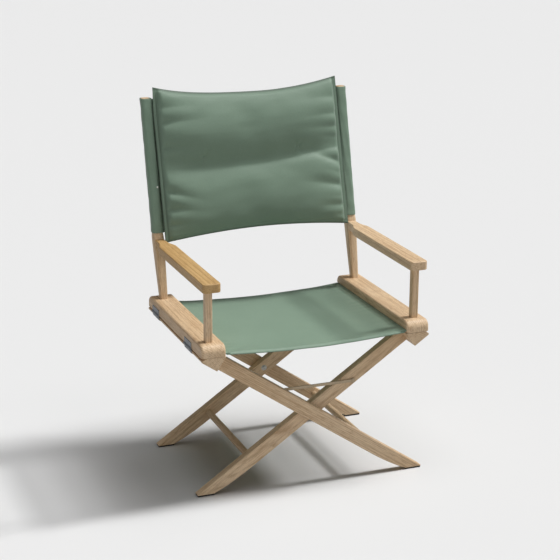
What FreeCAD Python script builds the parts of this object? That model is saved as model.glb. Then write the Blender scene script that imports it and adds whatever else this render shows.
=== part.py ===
import FreeCAD, Part
import math
import os

from FreeCAD import Vector

# Folding director chair: two crossed leg frames (A and B) pivoted at one crossing,
# each hinged at its top to a seat rail that carries an armrest and a back post.
# Millimetres. Seen from the front, +X is to the right; +Y to the back, +Z up.
# Origin: on the floor, midway between the two sides and midway between the front
# ends of the rails and the top of the back. The geometry is laid out from the
# middle of the rails' length; export() moves it forward by origin_y.
# Frame A's upper end is on the left and its foot on the right; frame B is the
# other way round, modelled like A and mirrored. "Half distance" is from X = 0.

os.makedirs("parts", exist_ok=True)

# ---- shared dimensions ---------------------------------------------------------
origin_y = 43.5                         # middle of the rails to middle of overall depth
gap = 0.06                              # running or glue-line clearance

# seat rails and hinge bars
rail_inner, rail_outer = 227.0, 285.0   # half distances of the rail's faces
rail_z0, rail_z1 = 359.2, 388.0
half_depth = 211.5                      # rail and hinge bar half length in Y
bar_along, bar_across = -288.5, -19.0   # hinge bar's inner and lower face, in leg axes
bar_outer = 284.5
bar_top_z = 358.8

# legs
leg_angle = math.radians(34.33)         # above the floor when open
leg_cos, leg_sin = math.cos(leg_angle), math.sin(leg_angle)
cross_z = 179.0                         # height of the crossing
leg_width, leg_thick = 34.0, 21.0       # width across, thickness in Y
a_front_y, a_rear_y = -193.5, 172.5     # front faces of frame A's legs
b_front_y, b_rear_y = -168.5, 147.5     # front faces of frame B's legs
pad_height = 4.0
foot_x0, foot_x1 = 242.0, 284.4         # foot contact, half distances

# posts and armrests
front_post_x, front_post_y = 258.8, -177.6
rear_post_x0, rear_post_x1 = 258.0, 260.8   # half distances at the rail and at the top
rear_post_y0 = 169.9                    # rear post centre at the rail top
rear_post_lean = 0.2443                 # dY per dZ
rear_post_top = 869.0
front_peg_r, rear_peg_r = 4.5, 5.0      # round ends of the posts
arm_z0, arm_z1 = 511.6, 533.0

# soft goods
sling_y0, sling_y1 = -207.0, 203.5      # seat sling front and rear edge
rod_x, rod_z, rod_r = 238.5, 369.5, 2.6     # sling rod in its groove
back_z0, back_z1 = 548.0, rear_post_top - 0.6   # lower and upper edge of the sleeves


# ---- helpers -------------------------------------------------------------------
def poly_face(points):
    """Face from a list of 3D points, closed back to the first."""
    corners = [Vector(*point) for point in points + points[:1]]
    return Part.Face(Part.makePolygon(corners))


def prism_y(outline, y0, y1):
    """Solid from an x-z outline between two Y values."""
    return poly_face([(x, y0, z) for x, z in outline]).extrude(Vector(0, y1 - y0, 0))


def cyl_y(x, y, z, radius, length, sign=1):
    """Cylinder from a point towards +Y, or -Y where sign is -1."""
    return Part.makeCylinder(radius, length, Vector(x, y, z), Vector(0, sign, 0))


def cyl_z(x, y, z, radius, length):
    return Part.makeCylinder(radius, length, Vector(x, y, z), Vector(0, 0, 1))


def box(x0, x1, y0, y1, z0, z1):
    return Part.makeBox(x1 - x0, y1 - y0, z1 - z0, Vector(x0, y0, z0))


def fuse(shapes):
    return shapes[0].multiFuse(shapes[1:]).removeSplitter()


def cut_all(shape, cutters):
    for cutter in cutters:
        shape = shape.cut(cutter)
    return shape


def group(shapes):
    solids = [solid for shape in shapes for solid in shape.Solids]
    return solids[0] if len(solids) == 1 else Part.makeCompound(solids)


def mirror(shape):
    """Other side of the chair: X changes sign."""
    return shape.mirror(Vector(0, 0, 0), Vector(1, 0, 0))


def round_edges(shape, radius, pick):
    """Fillet the picked edges, reducing the radius if the kernel refuses."""
    edges = [edge for edge in shape.Edges if pick(edge)]
    for factor in (1.0, 0.8, 0.5, 0.25):
        # guards against a fillet that the kernel cannot build at this radius
        try:
            rounded = shape.makeFillet(radius * factor, edges)
            if (rounded.isValid() and rounded.Volume > 0
                    and len(rounded.Solids) == len(shape.Solids)):
                return rounded
        except Exception:
            pass
    return shape


def arc_inset(radius):
    """Distance of a quarter arc's middle from both sides of its square corner."""
    return radius * (1 - math.cos(math.pi / 4))


def line(start, end):
    return Part.makeLine(start, end)


def arc(start, middle, end):
    return Part.Arc(start, middle, end).toShape()


def bezier(poles):
    curve = Part.BezierCurve()
    curve.setPoles(poles)
    return curve.toShape()


def export(name, shape):
    """Write one piece, moved to the origin."""
    shape = shape.copy()
    if not shape.isValid():
        shape.fix(0.01, 0.01, 0.01)
    shape.translate(Vector(0, -origin_y, 0))
    shape.exportStep("parts/%s.step" % name)


def leg_point(along, across):
    """(x, z) from frame A's leg axes: along runs down the leg from the crossing,
    across is square to it and upwards."""
    return (along * leg_cos + across * leg_sin,
            cross_z - along * leg_sin + across * leg_cos)


def leg_point_at_x(x, across):
    """(x, z) where the line parallel to the leg at this offset reaches x."""
    return leg_point((x - across * leg_sin) / leg_cos, across)


# ---- hinges, left-hand side ----------------------------------------------------
hinge_x, hinge_z = -287.0, 359.0        # hinge axis
hinge_length = 50.0
hinge_ys = (-110.5, 144.5)              # hinge centres
pin_r, knuckle_r, leaf_thick = 1.5, 2.7, 1.5
knuckle_gap = 0.15
leaf_gap = 0.02                         # between a leaf and the wood
leaf_face_x = -rail_outer - leaf_thick  # outer face of the rail leaf
leg_leaf_along = -305.0                 # lower end of the leg leaf, in leg axes

screw_offset = 16.0                     # screws either side of a hinge's centre
rail_screw_z = rail_z0 + 9.4
leg_screw_along = -315.0
screw_head_h = 1.4
screw_axis_rail = Vector(1, 0, 0)
screw_axis_leg = Vector(leg_sin, 0, leg_cos)
rail_shank, leg_shank = 13.0, 11.0      # shank lengths


def knuckle_span(centre_y, index):
    """Y span of knuckle 0, 1 or 2 from the front; knuckle 1 is on the rail leaf."""
    third = hinge_length / 3.0
    y0 = centre_y - hinge_length / 2.0 + index * third
    return (y0 + (knuckle_gap if index else 0.0),
            y0 + third - (knuckle_gap if index < 2 else 0.0))


def hinge_cyl(centre_y, radius, end_extra):
    """Cylinder on the hinge axis, longer than the hinge by end_extra at each end."""
    return cyl_y(hinge_x, centre_y - hinge_length / 2.0 - end_extra, hinge_z,
                 radius, hinge_length + 2 * end_extra)


def knuckle(y0, y1):
    return cyl_y(hinge_x, y0, hinge_z, knuckle_r, y1 - y0)


def pin_hole(centre_y):
    return hinge_cyl(centre_y, pin_r + 0.05, 1.0)


def hinge_rail_leaf(centre_y):
    """Plate on the rail's outer face, with the middle knuckle."""
    y0, y1 = knuckle_span(centre_y, 1)
    inner_x = -rail_outer - leaf_gap
    plate = box(leaf_face_x, inner_x,
                centre_y - hinge_length / 2.0, centre_y + hinge_length / 2.0,
                rail_z0 + 3.2, rail_z0 + 15.0)
    neck = box(leaf_face_x, inner_x, y0, y1, hinge_z, rail_z0 + 4.0)
    leaf = fuse([plate, neck, knuckle(y0, y1)]).cut(pin_hole(centre_y))
    return leaf.cut(Part.makeCompound(rail_screw_holes))


def hinge_leg_leaf(centre_y):
    """Plate down the hinge bar's outer face and on along its lower face."""
    outer_x, inner_x = -bar_outer - leaf_thick, -bar_outer - leaf_gap
    outer_across, inner_across = bar_across - leaf_thick, bar_across - leaf_gap
    outline = [leg_point(leg_leaf_along, inner_across),
               leg_point(leg_leaf_along, outer_across),
               leg_point_at_x(outer_x, outer_across),
               (outer_x, hinge_z - 3.1), (inner_x, hinge_z - 3.1),
               leg_point_at_x(inner_x, inner_across)]
    pieces = [prism_y(outline, centre_y - hinge_length / 2.0, centre_y + hinge_length / 2.0)]
    for index in (0, 2):
        y0, y1 = knuckle_span(centre_y, index)
        pieces.append(knuckle(y0, y1))
        pieces.append(box(outer_x, inner_x, y0, y1, hinge_z - 3.6, hinge_z - 0.3))
    leaf = fuse(pieces).cut(pin_hole(centre_y))
    return leaf.cut(Part.makeCompound(leg_screw_holes))


def screw(point, axis, shank_length):
    """Countersunk screw; point is the middle of the head's face."""
    head = Part.makeCone(2.9, 1.55, screw_head_h, point, axis)
    shank = Part.makeCylinder(1.5, shank_length, point + axis * 1.35, axis)
    return fuse([head, shank])


def screw_hole(point, axis, shank_length):
    """Countersink and bore for a screw."""
    return [Part.makeCone(2.95, 1.6, screw_head_h, point, axis),
            Part.makeCylinder(1.56, shank_length + 0.6, point + axis * 1.3, axis)]


def rail_screw(point):
    """Screw with a cross slot in its head."""
    half_long, half_wide = 2.2, 0.35
    x0, x1 = point.x - 0.1, point.x + 0.5
    slots = [box(x0, x1, point.y - half_y, point.y + half_y, point.z - half_z, point.z + half_z)
             for half_y, half_z in ((half_long, half_wide), (half_wide, half_long))]
    return cut_all(screw(point, screw_axis_rail, rail_shank), slots)


screw_ys = [centre_y + side * screw_offset for centre_y in hinge_ys for side in (-1, 1)]
rail_screw_points = [Vector(leaf_face_x, y, rail_screw_z) for y in screw_ys]
leg_screw_x, leg_screw_z = leg_point(leg_screw_along, bar_across - leaf_thick)
leg_screw_points = [Vector(leg_screw_x, y, leg_screw_z) for y in screw_ys]
rail_screw_holes = [hole for point in rail_screw_points
                    for hole in screw_hole(point, screw_axis_rail, rail_shank)]
leg_screw_holes = [hole for point in leg_screw_points
                   for hole in screw_hole(point, screw_axis_leg, leg_shank)]
# room for the knuckles in the rail and the hinge bar
knuckle_reliefs = [hinge_cyl(y, knuckle_r + 0.35, 0.6) for y in hinge_ys]

leg_hinge_parts = {
    "hinge_leg_leaves": group([hinge_leg_leaf(y) for y in hinge_ys]),
    "hinge_pins": group([hinge_cyl(y, pin_r, -0.2) for y in hinge_ys]),
    "hinge_leg_screws": group([screw(point, screw_axis_leg, leg_shank)
                               for point in leg_screw_points]),
}
for name, piece in leg_hinge_parts.items():
    export(name + "_a", piece)
    export(name + "_b", group([mirror(solid) for solid in piece.Solids]))

# ---- pivots at the crossing ----------------------------------------------------
# A bolt runs through leg B from inside the frame into an insert in leg A.
# Each pivot: leg B's face under the washer, leg A's face towards leg B,
# and the bolt's direction along Y.
front_pivot = (b_front_y + leg_thick, a_front_y + leg_thick, -1)
rear_pivot = (b_rear_y, a_rear_y, 1)
bolt_r, bolt_head_r, bolt_head_h = 3.0, 5.4, 3.4
washer_r, washer_thick = 7.2, 1.2
spacer_r = 7.0
insert_r, insert_length = 5.0, 15.0
hex_r, hex_depth = 2.3, 2.2             # socket corner radius; cut from 0.1 off the head
bolt_bore = cyl_y(0, -300, cross_z, bolt_r + gap, 600)


def pivot_bolt(seat_y, a_face_y, sign):
    under_head_y = seat_y - sign * washer_thick
    top_y = under_head_y - sign * bolt_head_h
    tip_y = a_face_y + sign * (insert_length - 1.0)
    head = cyl_y(0, under_head_y, cross_z, bolt_head_r, bolt_head_h, -sign)
    head = round_edges(head, 1.6, lambda edge: abs(edge.BoundBox.YMin - top_y) < 0.01)
    shank = cyl_y(0, under_head_y, cross_z, bolt_r, abs(tip_y - under_head_y), sign)
    angles = [math.radians(60 * i) for i in range(7)]
    socket = Part.makePolygon([Vector(hex_r * math.cos(angle), top_y - sign * 0.1,
                                      cross_z + hex_r * math.sin(angle)) for angle in angles])
    return fuse([head, shank]).cut(Part.Face(socket).extrude(Vector(0, sign * hex_depth, 0)))


def pivot_washer(seat_y, a_face_y, sign):
    y0 = min(seat_y, seat_y - sign * washer_thick)
    return cyl_y(0, y0, cross_z, washer_r, washer_thick).cut(bolt_bore)


def pivot_spacer(seat_y, a_face_y, sign):
    """Ring between the two legs."""
    b_face_y = seat_y + sign * leg_thick
    y0 = min(b_face_y, a_face_y) + 0.05
    y1 = max(b_face_y, a_face_y) - 0.05
    return cyl_y(0, y0, cross_z, spacer_r, y1 - y0).cut(bolt_bore)


def pivot_insert(seat_y, a_face_y, sign):
    """Insert in leg A, closed at its far end."""
    body = cyl_y(0, a_face_y, cross_z, insert_r, insert_length, sign)
    return body.cut(cyl_y(0, a_face_y, cross_z, bolt_r + gap, insert_length - 0.5, sign))


def insert_bore(seat_y, a_face_y, sign):
    return cyl_y(0, a_face_y, cross_z, insert_r + gap, insert_length + 0.3, sign)


export("pivot_bolt_front", pivot_bolt(*front_pivot))
export("pivot_bolt_rear", pivot_bolt(*rear_pivot))
for name, make in (("pivot_washers", pivot_washer), ("pivot_spacers", pivot_spacer),
                   ("pivot_inserts", pivot_insert)):
    export(name, group([make(*front_pivot), make(*rear_pivot)]))

# ---- stay ----------------------------------------------------------------------
# Flat link pivoted on leg B's front face, hooked over a stud on leg A's rear face.
stay_x, stay_z = 107.0, 243.0           # pivot; the stud is at the same half distance
stud_x = -stay_x
stay_thick, stay_height = 2.4, 7.0
stay_gap_y0, stay_gap_y1 = a_front_y + leg_thick, b_front_y     # between the legs
stay_y0 = (stay_gap_y0 + stay_gap_y1) / 2.0 - stay_thick / 2.0
stud_r, stud_depth = 2.5, 12.0
stay_screw_r, stay_screw_depth = 2.2, 16.0
eye_r, hook_r, hook_inner_r = 6.0, 7.0, 3.1

stay_stud = cyl_y(stud_x, stay_gap_y0 - stud_depth, stay_z, stud_r,
                  stud_depth + (stay_gap_y1 - stay_gap_y0) - 0.15)
stud_bore = cyl_y(stud_x, stay_gap_y0 - stud_depth - 0.2, stay_z, stud_r + gap,
                  stud_depth + 0.3)
stay_screw_bore = cyl_y(stay_x, stay_y0, stay_z, stay_screw_r + gap,
                        stay_thick + stay_screw_depth + 0.2)


def stay_pivot_screw():
    head = cyl_y(stay_x, stay_y0 - 0.75, stay_z, 4.2, 0.65)
    shank = cyl_y(stay_x, stay_y0 - 0.2, stay_z, stay_screw_r, stay_thick + stay_screw_depth)
    return fuse([head, shank])


def stay_link():
    """Bar with a round pivot eye and a hook open at its top."""
    eye = cyl_y(stay_x, stay_y0, stay_z, eye_r, stay_thick)
    bar = box(stud_x + 4.0, stay_x, stay_y0, stay_y0 + stay_thick,
              stay_z - stay_height / 2, stay_z + stay_height / 2)
    hook = cyl_y(stud_x, stay_y0, stay_z, hook_r, stay_thick)
    link = fuse([eye, bar, hook])
    mouth = [(stud_x - hook_inner_r, stay_z), (stud_x + hook_inner_r, stay_z),
             (stud_x + hook_inner_r, stay_z + 1.0), (stud_x + 9.0, stay_z + 9.0),
             (stud_x - hook_inner_r, stay_z + 9.0)]
    return cut_all(link, [
        cyl_y(stay_x, stay_y0 - 1, stay_z, stay_screw_r + 0.07, stay_thick + 2),
        cyl_y(stud_x, stay_y0 - 1, stay_z, hook_inner_r, stay_thick + 2),
        prism_y(mouth, stay_y0 - 1, stay_y0 + stay_thick + 1)])


export("stay_stud", stay_stud)
export("stay_pivot_screw", stay_pivot_screw())
export("stay_link", stay_link())

# ---- leg frames ----------------------------------------------------------------
tenon_length = 14.0                     # into the hinge bar
tenon_across0, tenon_across1 = -9.0, 8.0
tenon_inset = 5.0                       # from the leg's front and rear faces
foot_curve_along = 205.0                # where the lower edge leaves the straight
foot_curve_lead = 26.04                 # first Bezier handle, along the leg
foot_curve_end = (18.6, 6.696)          # last Bezier handle, back in X and up
dowel_r, dowel_end = 8.3, 12.0          # stretcher radius, and depth into each leg
dowel_x, dowel_z = leg_point(181.0, 1.0)


def tenon(leg_y, end_gap, side_gap):
    """Tenon of the leg whose front face is at leg_y, grown by the given gaps."""
    along0, along1 = bar_along - tenon_length - end_gap, bar_along + 2.0
    across0, across1 = tenon_across0 - side_gap, tenon_across1 + side_gap
    outline = [leg_point(along0, across1), leg_point(along0, across0),
               leg_point(along1, across0), leg_point(along1, across1)]
    return prism_y(outline, leg_y + tenon_inset - side_gap,
                   leg_y + leg_thick - tenon_inset + side_gap)


def leg(leg_y, bores):
    """Leg butted to the hinge bar at the top, its lower edge eased to the foot."""
    half = leg_width / 2.0

    def point(xz):
        return Vector(xz[0], leg_y, xz[1])

    top_upper = point(leg_point(bar_along + 0.05, half))
    top_lower = point(leg_point(bar_along + 0.05, -half))
    curve_start = point(leg_point(foot_curve_along, -half))
    heel = point((foot_x0, pad_height))
    toe = point((foot_x1, pad_height))
    # the upper edge runs straight to a small vertical nose
    nose_z = leg_point_at_x(foot_x1, half)[1]
    nose = point((foot_x1, max(nose_z, pad_height + 1.2)))
    foot_curve = bezier([
        curve_start,
        curve_start + Vector(foot_curve_lead * leg_cos, 0, -foot_curve_lead * leg_sin),
        heel + Vector(-foot_curve_end[0], 0, foot_curve_end[1]),
        heel])
    corners = [heel, toe, nose, top_upper, top_lower, curve_start]
    edges = [foot_curve] + [line(start, end) for start, end in zip(corners, corners[1:])]
    outline = Part.Wire(Part.__sortEdges__(edges))
    body = Part.Face(outline).extrude(Vector(0, leg_thick, 0))
    # long arrises eased, clear of the foot and of the butted top
    body = round_edges(body, 2.4, lambda edge: abs(edge.BoundBox.YLength) < 0.01 and
                       not edge.BoundBox.ZMax < pad_height + 2.5 and
                       not edge.BoundBox.XMax < top_upper.x + 0.2)
    body = body.fuse(tenon(leg_y, 0.0, 0.0))
    return cut_all(body, bores).removeSplitter()


def hinge_bar(front_y, rear_y):
    """Bar under the rail: lower face along the leg, inner face square to it, flat top."""
    top_across = (bar_top_z - cross_z + bar_along * leg_sin) / leg_cos
    outline = [leg_point(bar_along, bar_across), leg_point(bar_along, top_across),
               (-bar_outer + 12.0, bar_top_z), (-bar_outer, bar_top_z - 4.5),
               leg_point_at_x(-bar_outer, bar_across)]
    bar = prism_y(outline, -half_depth, half_depth)
    bar = round_edges(bar, 1.2, lambda edge: abs(edge.BoundBox.YLength) > 100 and
                      edge.BoundBox.ZMax < bar_top_z - 6)
    mortises = [tenon(leg_y, 0.6, gap) for leg_y in (front_y, rear_y)]
    return cut_all(bar, mortises + knuckle_reliefs + leg_screw_holes)


def stretcher_cyl(front_y, rear_y, radius, depth):
    """Cylinder between a frame's legs, running to this depth into each."""
    y0 = front_y + leg_thick
    return cyl_y(dowel_x, y0 - depth, dowel_z, radius, rear_y - y0 + 2 * depth)


def foot_pad(leg_y):
    inset = 0.6
    pad = box(foot_x0 + inset, foot_x1 - inset, leg_y + inset, leg_y + leg_thick - inset,
              0.0, pad_height - 0.02)
    pad = round_edges(pad, 2.0, lambda edge: abs(edge.BoundBox.ZLength) > 3)
    return round_edges(pad, 0.8, lambda edge: edge.BoundBox.ZMax < 0.01)


def same_side(shape):
    return shape


# frame, leg places, bores of the front and of the rear leg, and the side it is placed on;
# frame B's bores are given as modelled, before mirroring
frames = (
    ("a", a_front_y, a_rear_y,
     [insert_bore(*front_pivot), stud_bore], [insert_bore(*rear_pivot)], same_side),
    ("b", b_front_y, b_rear_y,
     [bolt_bore, mirror(stay_screw_bore)], [bolt_bore], mirror),
)
for frame, front_y, rear_y, front_bores, rear_bores, place in frames:
    dowel_bore = stretcher_cyl(front_y, rear_y, dowel_r + gap, dowel_end + 0.3)
    dowel = round_edges(stretcher_cyl(front_y, rear_y, dowel_r, dowel_end), 0.8,
                        lambda edge: True)
    export("leg_%s_front" % frame, place(leg(front_y, [dowel_bore] + front_bores)))
    export("leg_%s_rear" % frame, place(leg(rear_y, [dowel_bore] + rear_bores)))
    export("hinge_bar_" + frame, place(hinge_bar(front_y, rear_y)))
    export("stretcher_dowel_" + frame, place(dowel))
    export("foot_pad_%s_front" % frame, place(foot_pad(front_y)))
    export("foot_pad_%s_rear" % frame, place(foot_pad(rear_y)))

# ---- rear post shape, shared with the sleeves ----------------------------------
# Slim at the rail, widest at the armrest, stepped down a little inside the sleeve.
# Columns: z, width in X, depth in Y, corner radius.
post_stations = [
    (rail_z1 + 0.05, 18.4, 19.0, 4.0),
    (455.0, 22.5, 22.5, 4.6),
    (523.0, 26.4, 25.0, 5.0),
    (538.0, 26.2, 24.7, 5.0),
    (back_z0, 24.2, 22.6, 5.0),
    (600.0, 23.0, 21.6, 5.0),
    (730.0, 21.4, 20.4, 5.0),
    (rear_post_top, 20.3, 19.5, 5.0),
]
# the sleeve follows the post from back_z0 up and stops just below its top
sleeve_stations = post_stations[4:-1] + [(back_z1,) + post_stations[-1][1:]]


def post_y(z):
    """Centre of the rear post in Y."""
    return rear_post_y0 + (z - rail_z1) * rear_post_lean


def post_x(z):
    """Half distance of the rear post's centre: the posts splay very slightly."""
    rise = (z - rail_z1) / (rear_post_top - rail_z1)
    return rear_post_x0 + (rear_post_x1 - rear_post_x0) * rise


def rounded_rect(centre_x, centre_y, z, width, depth, radius):
    """Level rounded rectangle, as a wire."""
    half_x, half_y = width / 2.0, depth / 2.0
    inset = arc_inset(radius)
    corners = []
    for side_x, side_y in ((1, -1), (1, 1), (-1, 1), (-1, -1)):
        points = [Vector(centre_x + side_x * (half_x - in_x),
                         centre_y + side_y * (half_y - in_y), z)
                  for in_x, in_y in ((radius, 0), (inset, inset), (0, radius))]
        corners.append(points if side_x * side_y < 0 else points[::-1])
    edges = []
    for i in range(4):
        edges.append(line(corners[i - 1][2], corners[i][0]))
        edges.append(arc(*corners[i]))
    return Part.Wire(edges)


def post_loft(stations, grow=0.0, extend=0.0):
    """Left post shape through the stations, grown all round; extend lengthens both ends."""
    shifts = [-extend] + [0.0] * (len(stations) - 2) + [extend]
    wires = [rounded_rect(-post_x(z + shift), post_y(z + shift), z + shift,
                          width + 2 * grow, depth + 2 * grow, radius + grow)
             for (z, width, depth, radius), shift in zip(stations, shifts)]
    return Part.makeLoft(wires, True, True)


# ---- side assembly, modelled on the left and mirrored --------------------------
rail_end_r = 18.0                       # rounded top at both ends of a rail
groove_r = 4.8
front_post_size = 17.4                  # square section
front_peg_depth, rear_peg_depth = 16.0, 17.0    # into the rail
front_peg_rise = 12.0                   # into the armrest

# armrest plan; X values are half distances
arm_inner, arm_outer = 235.5, 279.0
arm_end_inner, arm_end_outer = 246.0, 269.5     # at its rear end
arm_y0 = -207.5                         # front end
arm_taper_y0, arm_taper_y1 = 122.0, 172.0       # narrows between these
arm_blank_y1 = 215.0                    # rear end before it is cut to the post
arm_corner_r = 9.5                      # front corners
arm_cut_offset = 12.5 + 0.14            # post centre to the end cut: half depth and gap

arm_dowel_z = (arm_z0 + arm_z1) / 2.0
arm_dowel_x = -post_x(arm_dowel_z) + 1.0
arm_dowel_y = post_y(arm_dowel_z) - 36.0
arm_dowel_r, arm_dowel_length = 4.0, 40.0
arm_dowel_bore = cyl_y(arm_dowel_x, arm_dowel_y - 0.3, arm_dowel_z, arm_dowel_r + gap,
                       arm_dowel_length + 0.6)


def seat_rail():
    """Rail from its side outline with rounded top ends, extruded across."""
    y0, y1 = -half_depth, half_depth
    inset = arc_inset(rail_end_r)

    def point(y, z):
        return Vector(-rail_outer, y, z)

    corners = [point(y0, rail_z0), point(y1, rail_z0), point(y1, rail_z1 - rail_end_r),
               point(y1 - rail_end_r, rail_z1), point(y0 + rail_end_r, rail_z1),
               point(y0, rail_z1 - rail_end_r)]
    rear_arc = arc(corners[2], point(y1 - inset, rail_z1 - inset), corners[3])
    front_arc = arc(corners[4], point(y0 + inset, rail_z1 - inset), corners[5])
    outline = Part.Wire([line(corners[0], corners[1]), line(corners[1], corners[2]), rear_arc,
                         line(corners[3], corners[4]), front_arc, line(corners[5], corners[0])])
    rail = Part.Face(outline).extrude(Vector(rail_outer - rail_inner, 0, 0))
    # outer and inner faces rounded except at the underside, then the underside's long edges
    for radius, face_x in ((6.0, -rail_outer), (4.6, -rail_inner)):
        rail = round_edges(rail, radius, lambda edge: edge.BoundBox.XLength < 0.01 and
                           abs(edge.BoundBox.XMin - face_x) < 0.01 and
                           edge.BoundBox.ZMin > rail_z0 + 0.5)
    rail = round_edges(rail, 1.2, lambda edge: edge.BoundBox.ZMax < rail_z0 + 0.01 and
                       edge.BoundBox.YLength > 300)
    # keyhole groove for the sling rod, stopped short of the front end
    groove_y0, groove_y1 = sling_y0 - 1.0, half_depth + 5.0
    groove = cyl_y(-rod_x, groove_y0, rod_z, groove_r, groove_y1 - groove_y0)
    slot = box(-rod_x, -rail_inner + 5.0, groove_y0, groove_y1, rod_z - groove_r, rod_z - 1.6)
    rear_bore = cyl_z(-rear_post_x0, rear_post_y0, rail_z1 - rear_peg_depth - 0.3,
                      rear_peg_r + gap, 30.0)
    front_bore = cyl_z(-front_post_x, front_post_y, rail_z1 - front_peg_depth - 0.3,
                       front_peg_r + gap, 30.0)
    return cut_all(rail, [fuse([groove, slot])] + knuckle_reliefs + rail_screw_holes
                   + [rear_bore, front_bore])


def rear_post():
    post = post_loft(post_stations)
    post = round_edges(post, 1.5, lambda edge: edge.BoundBox.ZMin > rear_post_top - 0.01)
    peg = cyl_z(-rear_post_x0, rear_post_y0, rail_z1 - rear_peg_depth, rear_peg_r,
                rear_peg_depth + 2.0)
    return post.fuse(peg).removeSplitter().cut(arm_dowel_bore)


def front_post():
    half = front_post_size / 2
    post = box(-front_post_x - half, -front_post_x + half,
               front_post_y - half, front_post_y + half, rail_z1 + 0.05, arm_z0 - 0.05)
    post = round_edges(post, 3.2, lambda edge: edge.BoundBox.ZLength > 50)
    peg = cyl_z(-front_post_x, front_post_y, rail_z1 - front_peg_depth, front_peg_r,
                arm_z0 - rail_z1 + front_peg_depth + front_peg_rise)
    return post.fuse(peg).removeSplitter()


def armrest():
    """Round front corners, and a rear end narrowing to the post."""
    inner, outer = -arm_inner, -arm_outer
    end_inner, end_outer = -arm_end_inner, -arm_end_outer
    radius, inset = arm_corner_r, arc_inset(arm_corner_r)

    def point(x, y):
        return Vector(x, y, arm_z0)

    inner_front, outer_front = point(inner, arm_y0 + radius), point(outer, arm_y0 + radius)
    front_inner, front_outer = point(inner - radius, arm_y0), point(outer + radius, arm_y0)
    # inner side's taper, from front to rear, and the outer side's, from rear to front
    inner_taper = [point(inner, arm_taper_y0), point(inner, arm_taper_y0 + 20),
                   point(end_inner, arm_taper_y1 - 24), point(end_inner, arm_taper_y1)]
    outer_taper = [point(end_outer, arm_taper_y1), point(end_outer, arm_taper_y1 - 24),
                   point(outer, arm_taper_y0 + 20), point(outer, arm_taper_y0)]
    rear_inner, rear_outer = point(end_inner, arm_blank_y1), point(end_outer, arm_blank_y1)
    outline = Part.Wire([
        line(front_outer, front_inner),
        arc(front_inner, point(inner - inset, arm_y0 + inset), inner_front),
        line(inner_front, inner_taper[0]),
        bezier(inner_taper),
        line(inner_taper[-1], rear_inner),
        line(rear_inner, rear_outer),
        line(rear_outer, outer_taper[0]),
        bezier(outer_taper),
        line(outer_taper[-1], outer_front),
        arc(outer_front, point(outer + inset, arm_y0 + inset), front_outer)])
    arm = Part.Face(outline).extrude(Vector(0, 0, arm_z1 - arm_z0))
    # top and bottom edges rounded, all but those across the rear end
    arm = round_edges(arm, 2.8, lambda edge: edge.BoundBox.ZLength < 0.01 and
                      edge.BoundBox.ZMin > arm_z1 - 0.1 and
                      edge.BoundBox.YMin < arm_blank_y1 - 0.5)
    arm = round_edges(arm, 1.8, lambda edge: edge.BoundBox.ZLength < 0.01 and
                      edge.BoundBox.ZMax < arm_z0 + 0.1 and
                      edge.BoundBox.YMin < arm_blank_y1 - 0.5)
    # the rear end is cut to the lean of the post's front face
    cut_y = post_y(arm_z0) - arm_cut_offset
    wedge = poly_face([(-400, cut_y - 5 * rear_post_lean, arm_z0 - 5),
                       (-400, cut_y + 30 * rear_post_lean, arm_z0 + 30),
                       (-400, cut_y + 200, arm_z0 + 30),
                       (-400, cut_y + 200, arm_z0 - 5)]).extrude(Vector(300, 0, 0))
    peg_bore = cyl_z(-front_post_x, front_post_y, arm_z0 - 5, front_peg_r + gap,
                     front_peg_rise + 5.3)
    return cut_all(arm, [wedge, peg_bore, arm_dowel_bore])


# sleeve stud, on the left only: short pin with a low round head, through the sleeve
# into the post's front
sleeve_stud_z = 655.0
lean_angle = math.atan(rear_post_lean)
stud_axis = Vector(0, -math.cos(lean_angle), math.sin(lean_angle))  # forward, slightly up
post_half_at_stud = 10.57               # half depth of the post at the stud
stud_base = (Vector(-post_x(sleeve_stud_z) + 7.4, post_y(sleeve_stud_z), sleeve_stud_z)
             + stud_axis * post_half_at_stud * math.cos(lean_angle))
stud_pin_r = 1.0
stud_head_r, stud_head_h, stud_head_off = 2.6, 1.2, 1.65    # offset from the post's face


def stud_cyl(radius, length, offset):
    """Cylinder on the sleeve stud's axis, starting at an offset from the post's face."""
    return Part.makeCylinder(radius, length, stud_base + stud_axis * offset, stud_axis)


def sleeve_stud():
    stud = fuse([stud_cyl(stud_pin_r, 8.2, -6.5),
                 stud_cyl(stud_head_r, stud_head_h, stud_head_off)])
    top = stud_head_off + stud_head_h
    return round_edges(stud, 0.7, lambda edge: abs(
        (edge.CenterOfMass - stud_base).dot(stud_axis) - top) < 0.05)


side_parts = {
    "seat_rail": seat_rail(),
    "front_post": front_post(),
    "rear_post": rear_post(),
    "armrest": armrest(),
    "armrest_dowel": cyl_y(arm_dowel_x, arm_dowel_y, arm_dowel_z, arm_dowel_r,
                           arm_dowel_length),
    "sling_rod": cyl_y(-rod_x, sling_y0 + 0.5, rod_z, rod_r, sling_y1 - sling_y0 + 4.0),
    "hinge_rail_leaves": group([hinge_rail_leaf(y) for y in hinge_ys]),
    "hinge_rail_screws": group([rail_screw(point) for point in rail_screw_points]),
}
left_bores = {"rear_post": [stud_cyl(stud_pin_r + gap, 10.5, -6.8)]}
for name, piece in side_parts.items():
    export(name + "_left", cut_all(piece, left_bores.get(name, [])))
    export(name + "_right", group([mirror(solid) for solid in piece.Solids]))
export("sleeve_stud_left", sleeve_stud())

# ---- soft goods as plain closed solids -----------------------------------------
sling_sag = 9.0
sling_thick = 2.2
loop_outer_r, loop_inner_r = 4.4, rod_r + 0.12
sleeve_thick, sleeve_gap = 1.2, 0.3     # sleeve fabric and its clearance on the post
panel_offsets = (3.4, 5.8)              # front and back face from the post centre line
panel_inset = 2.0                       # from the sleeves' lower and upper edges
panel_post_halves = (12.1, 10.3)        # post half width, below and above
cushion_half, cushion_thick = 241.0, 30.0
cushion_z0, cushion_z1 = 537.0, 894.0


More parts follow.
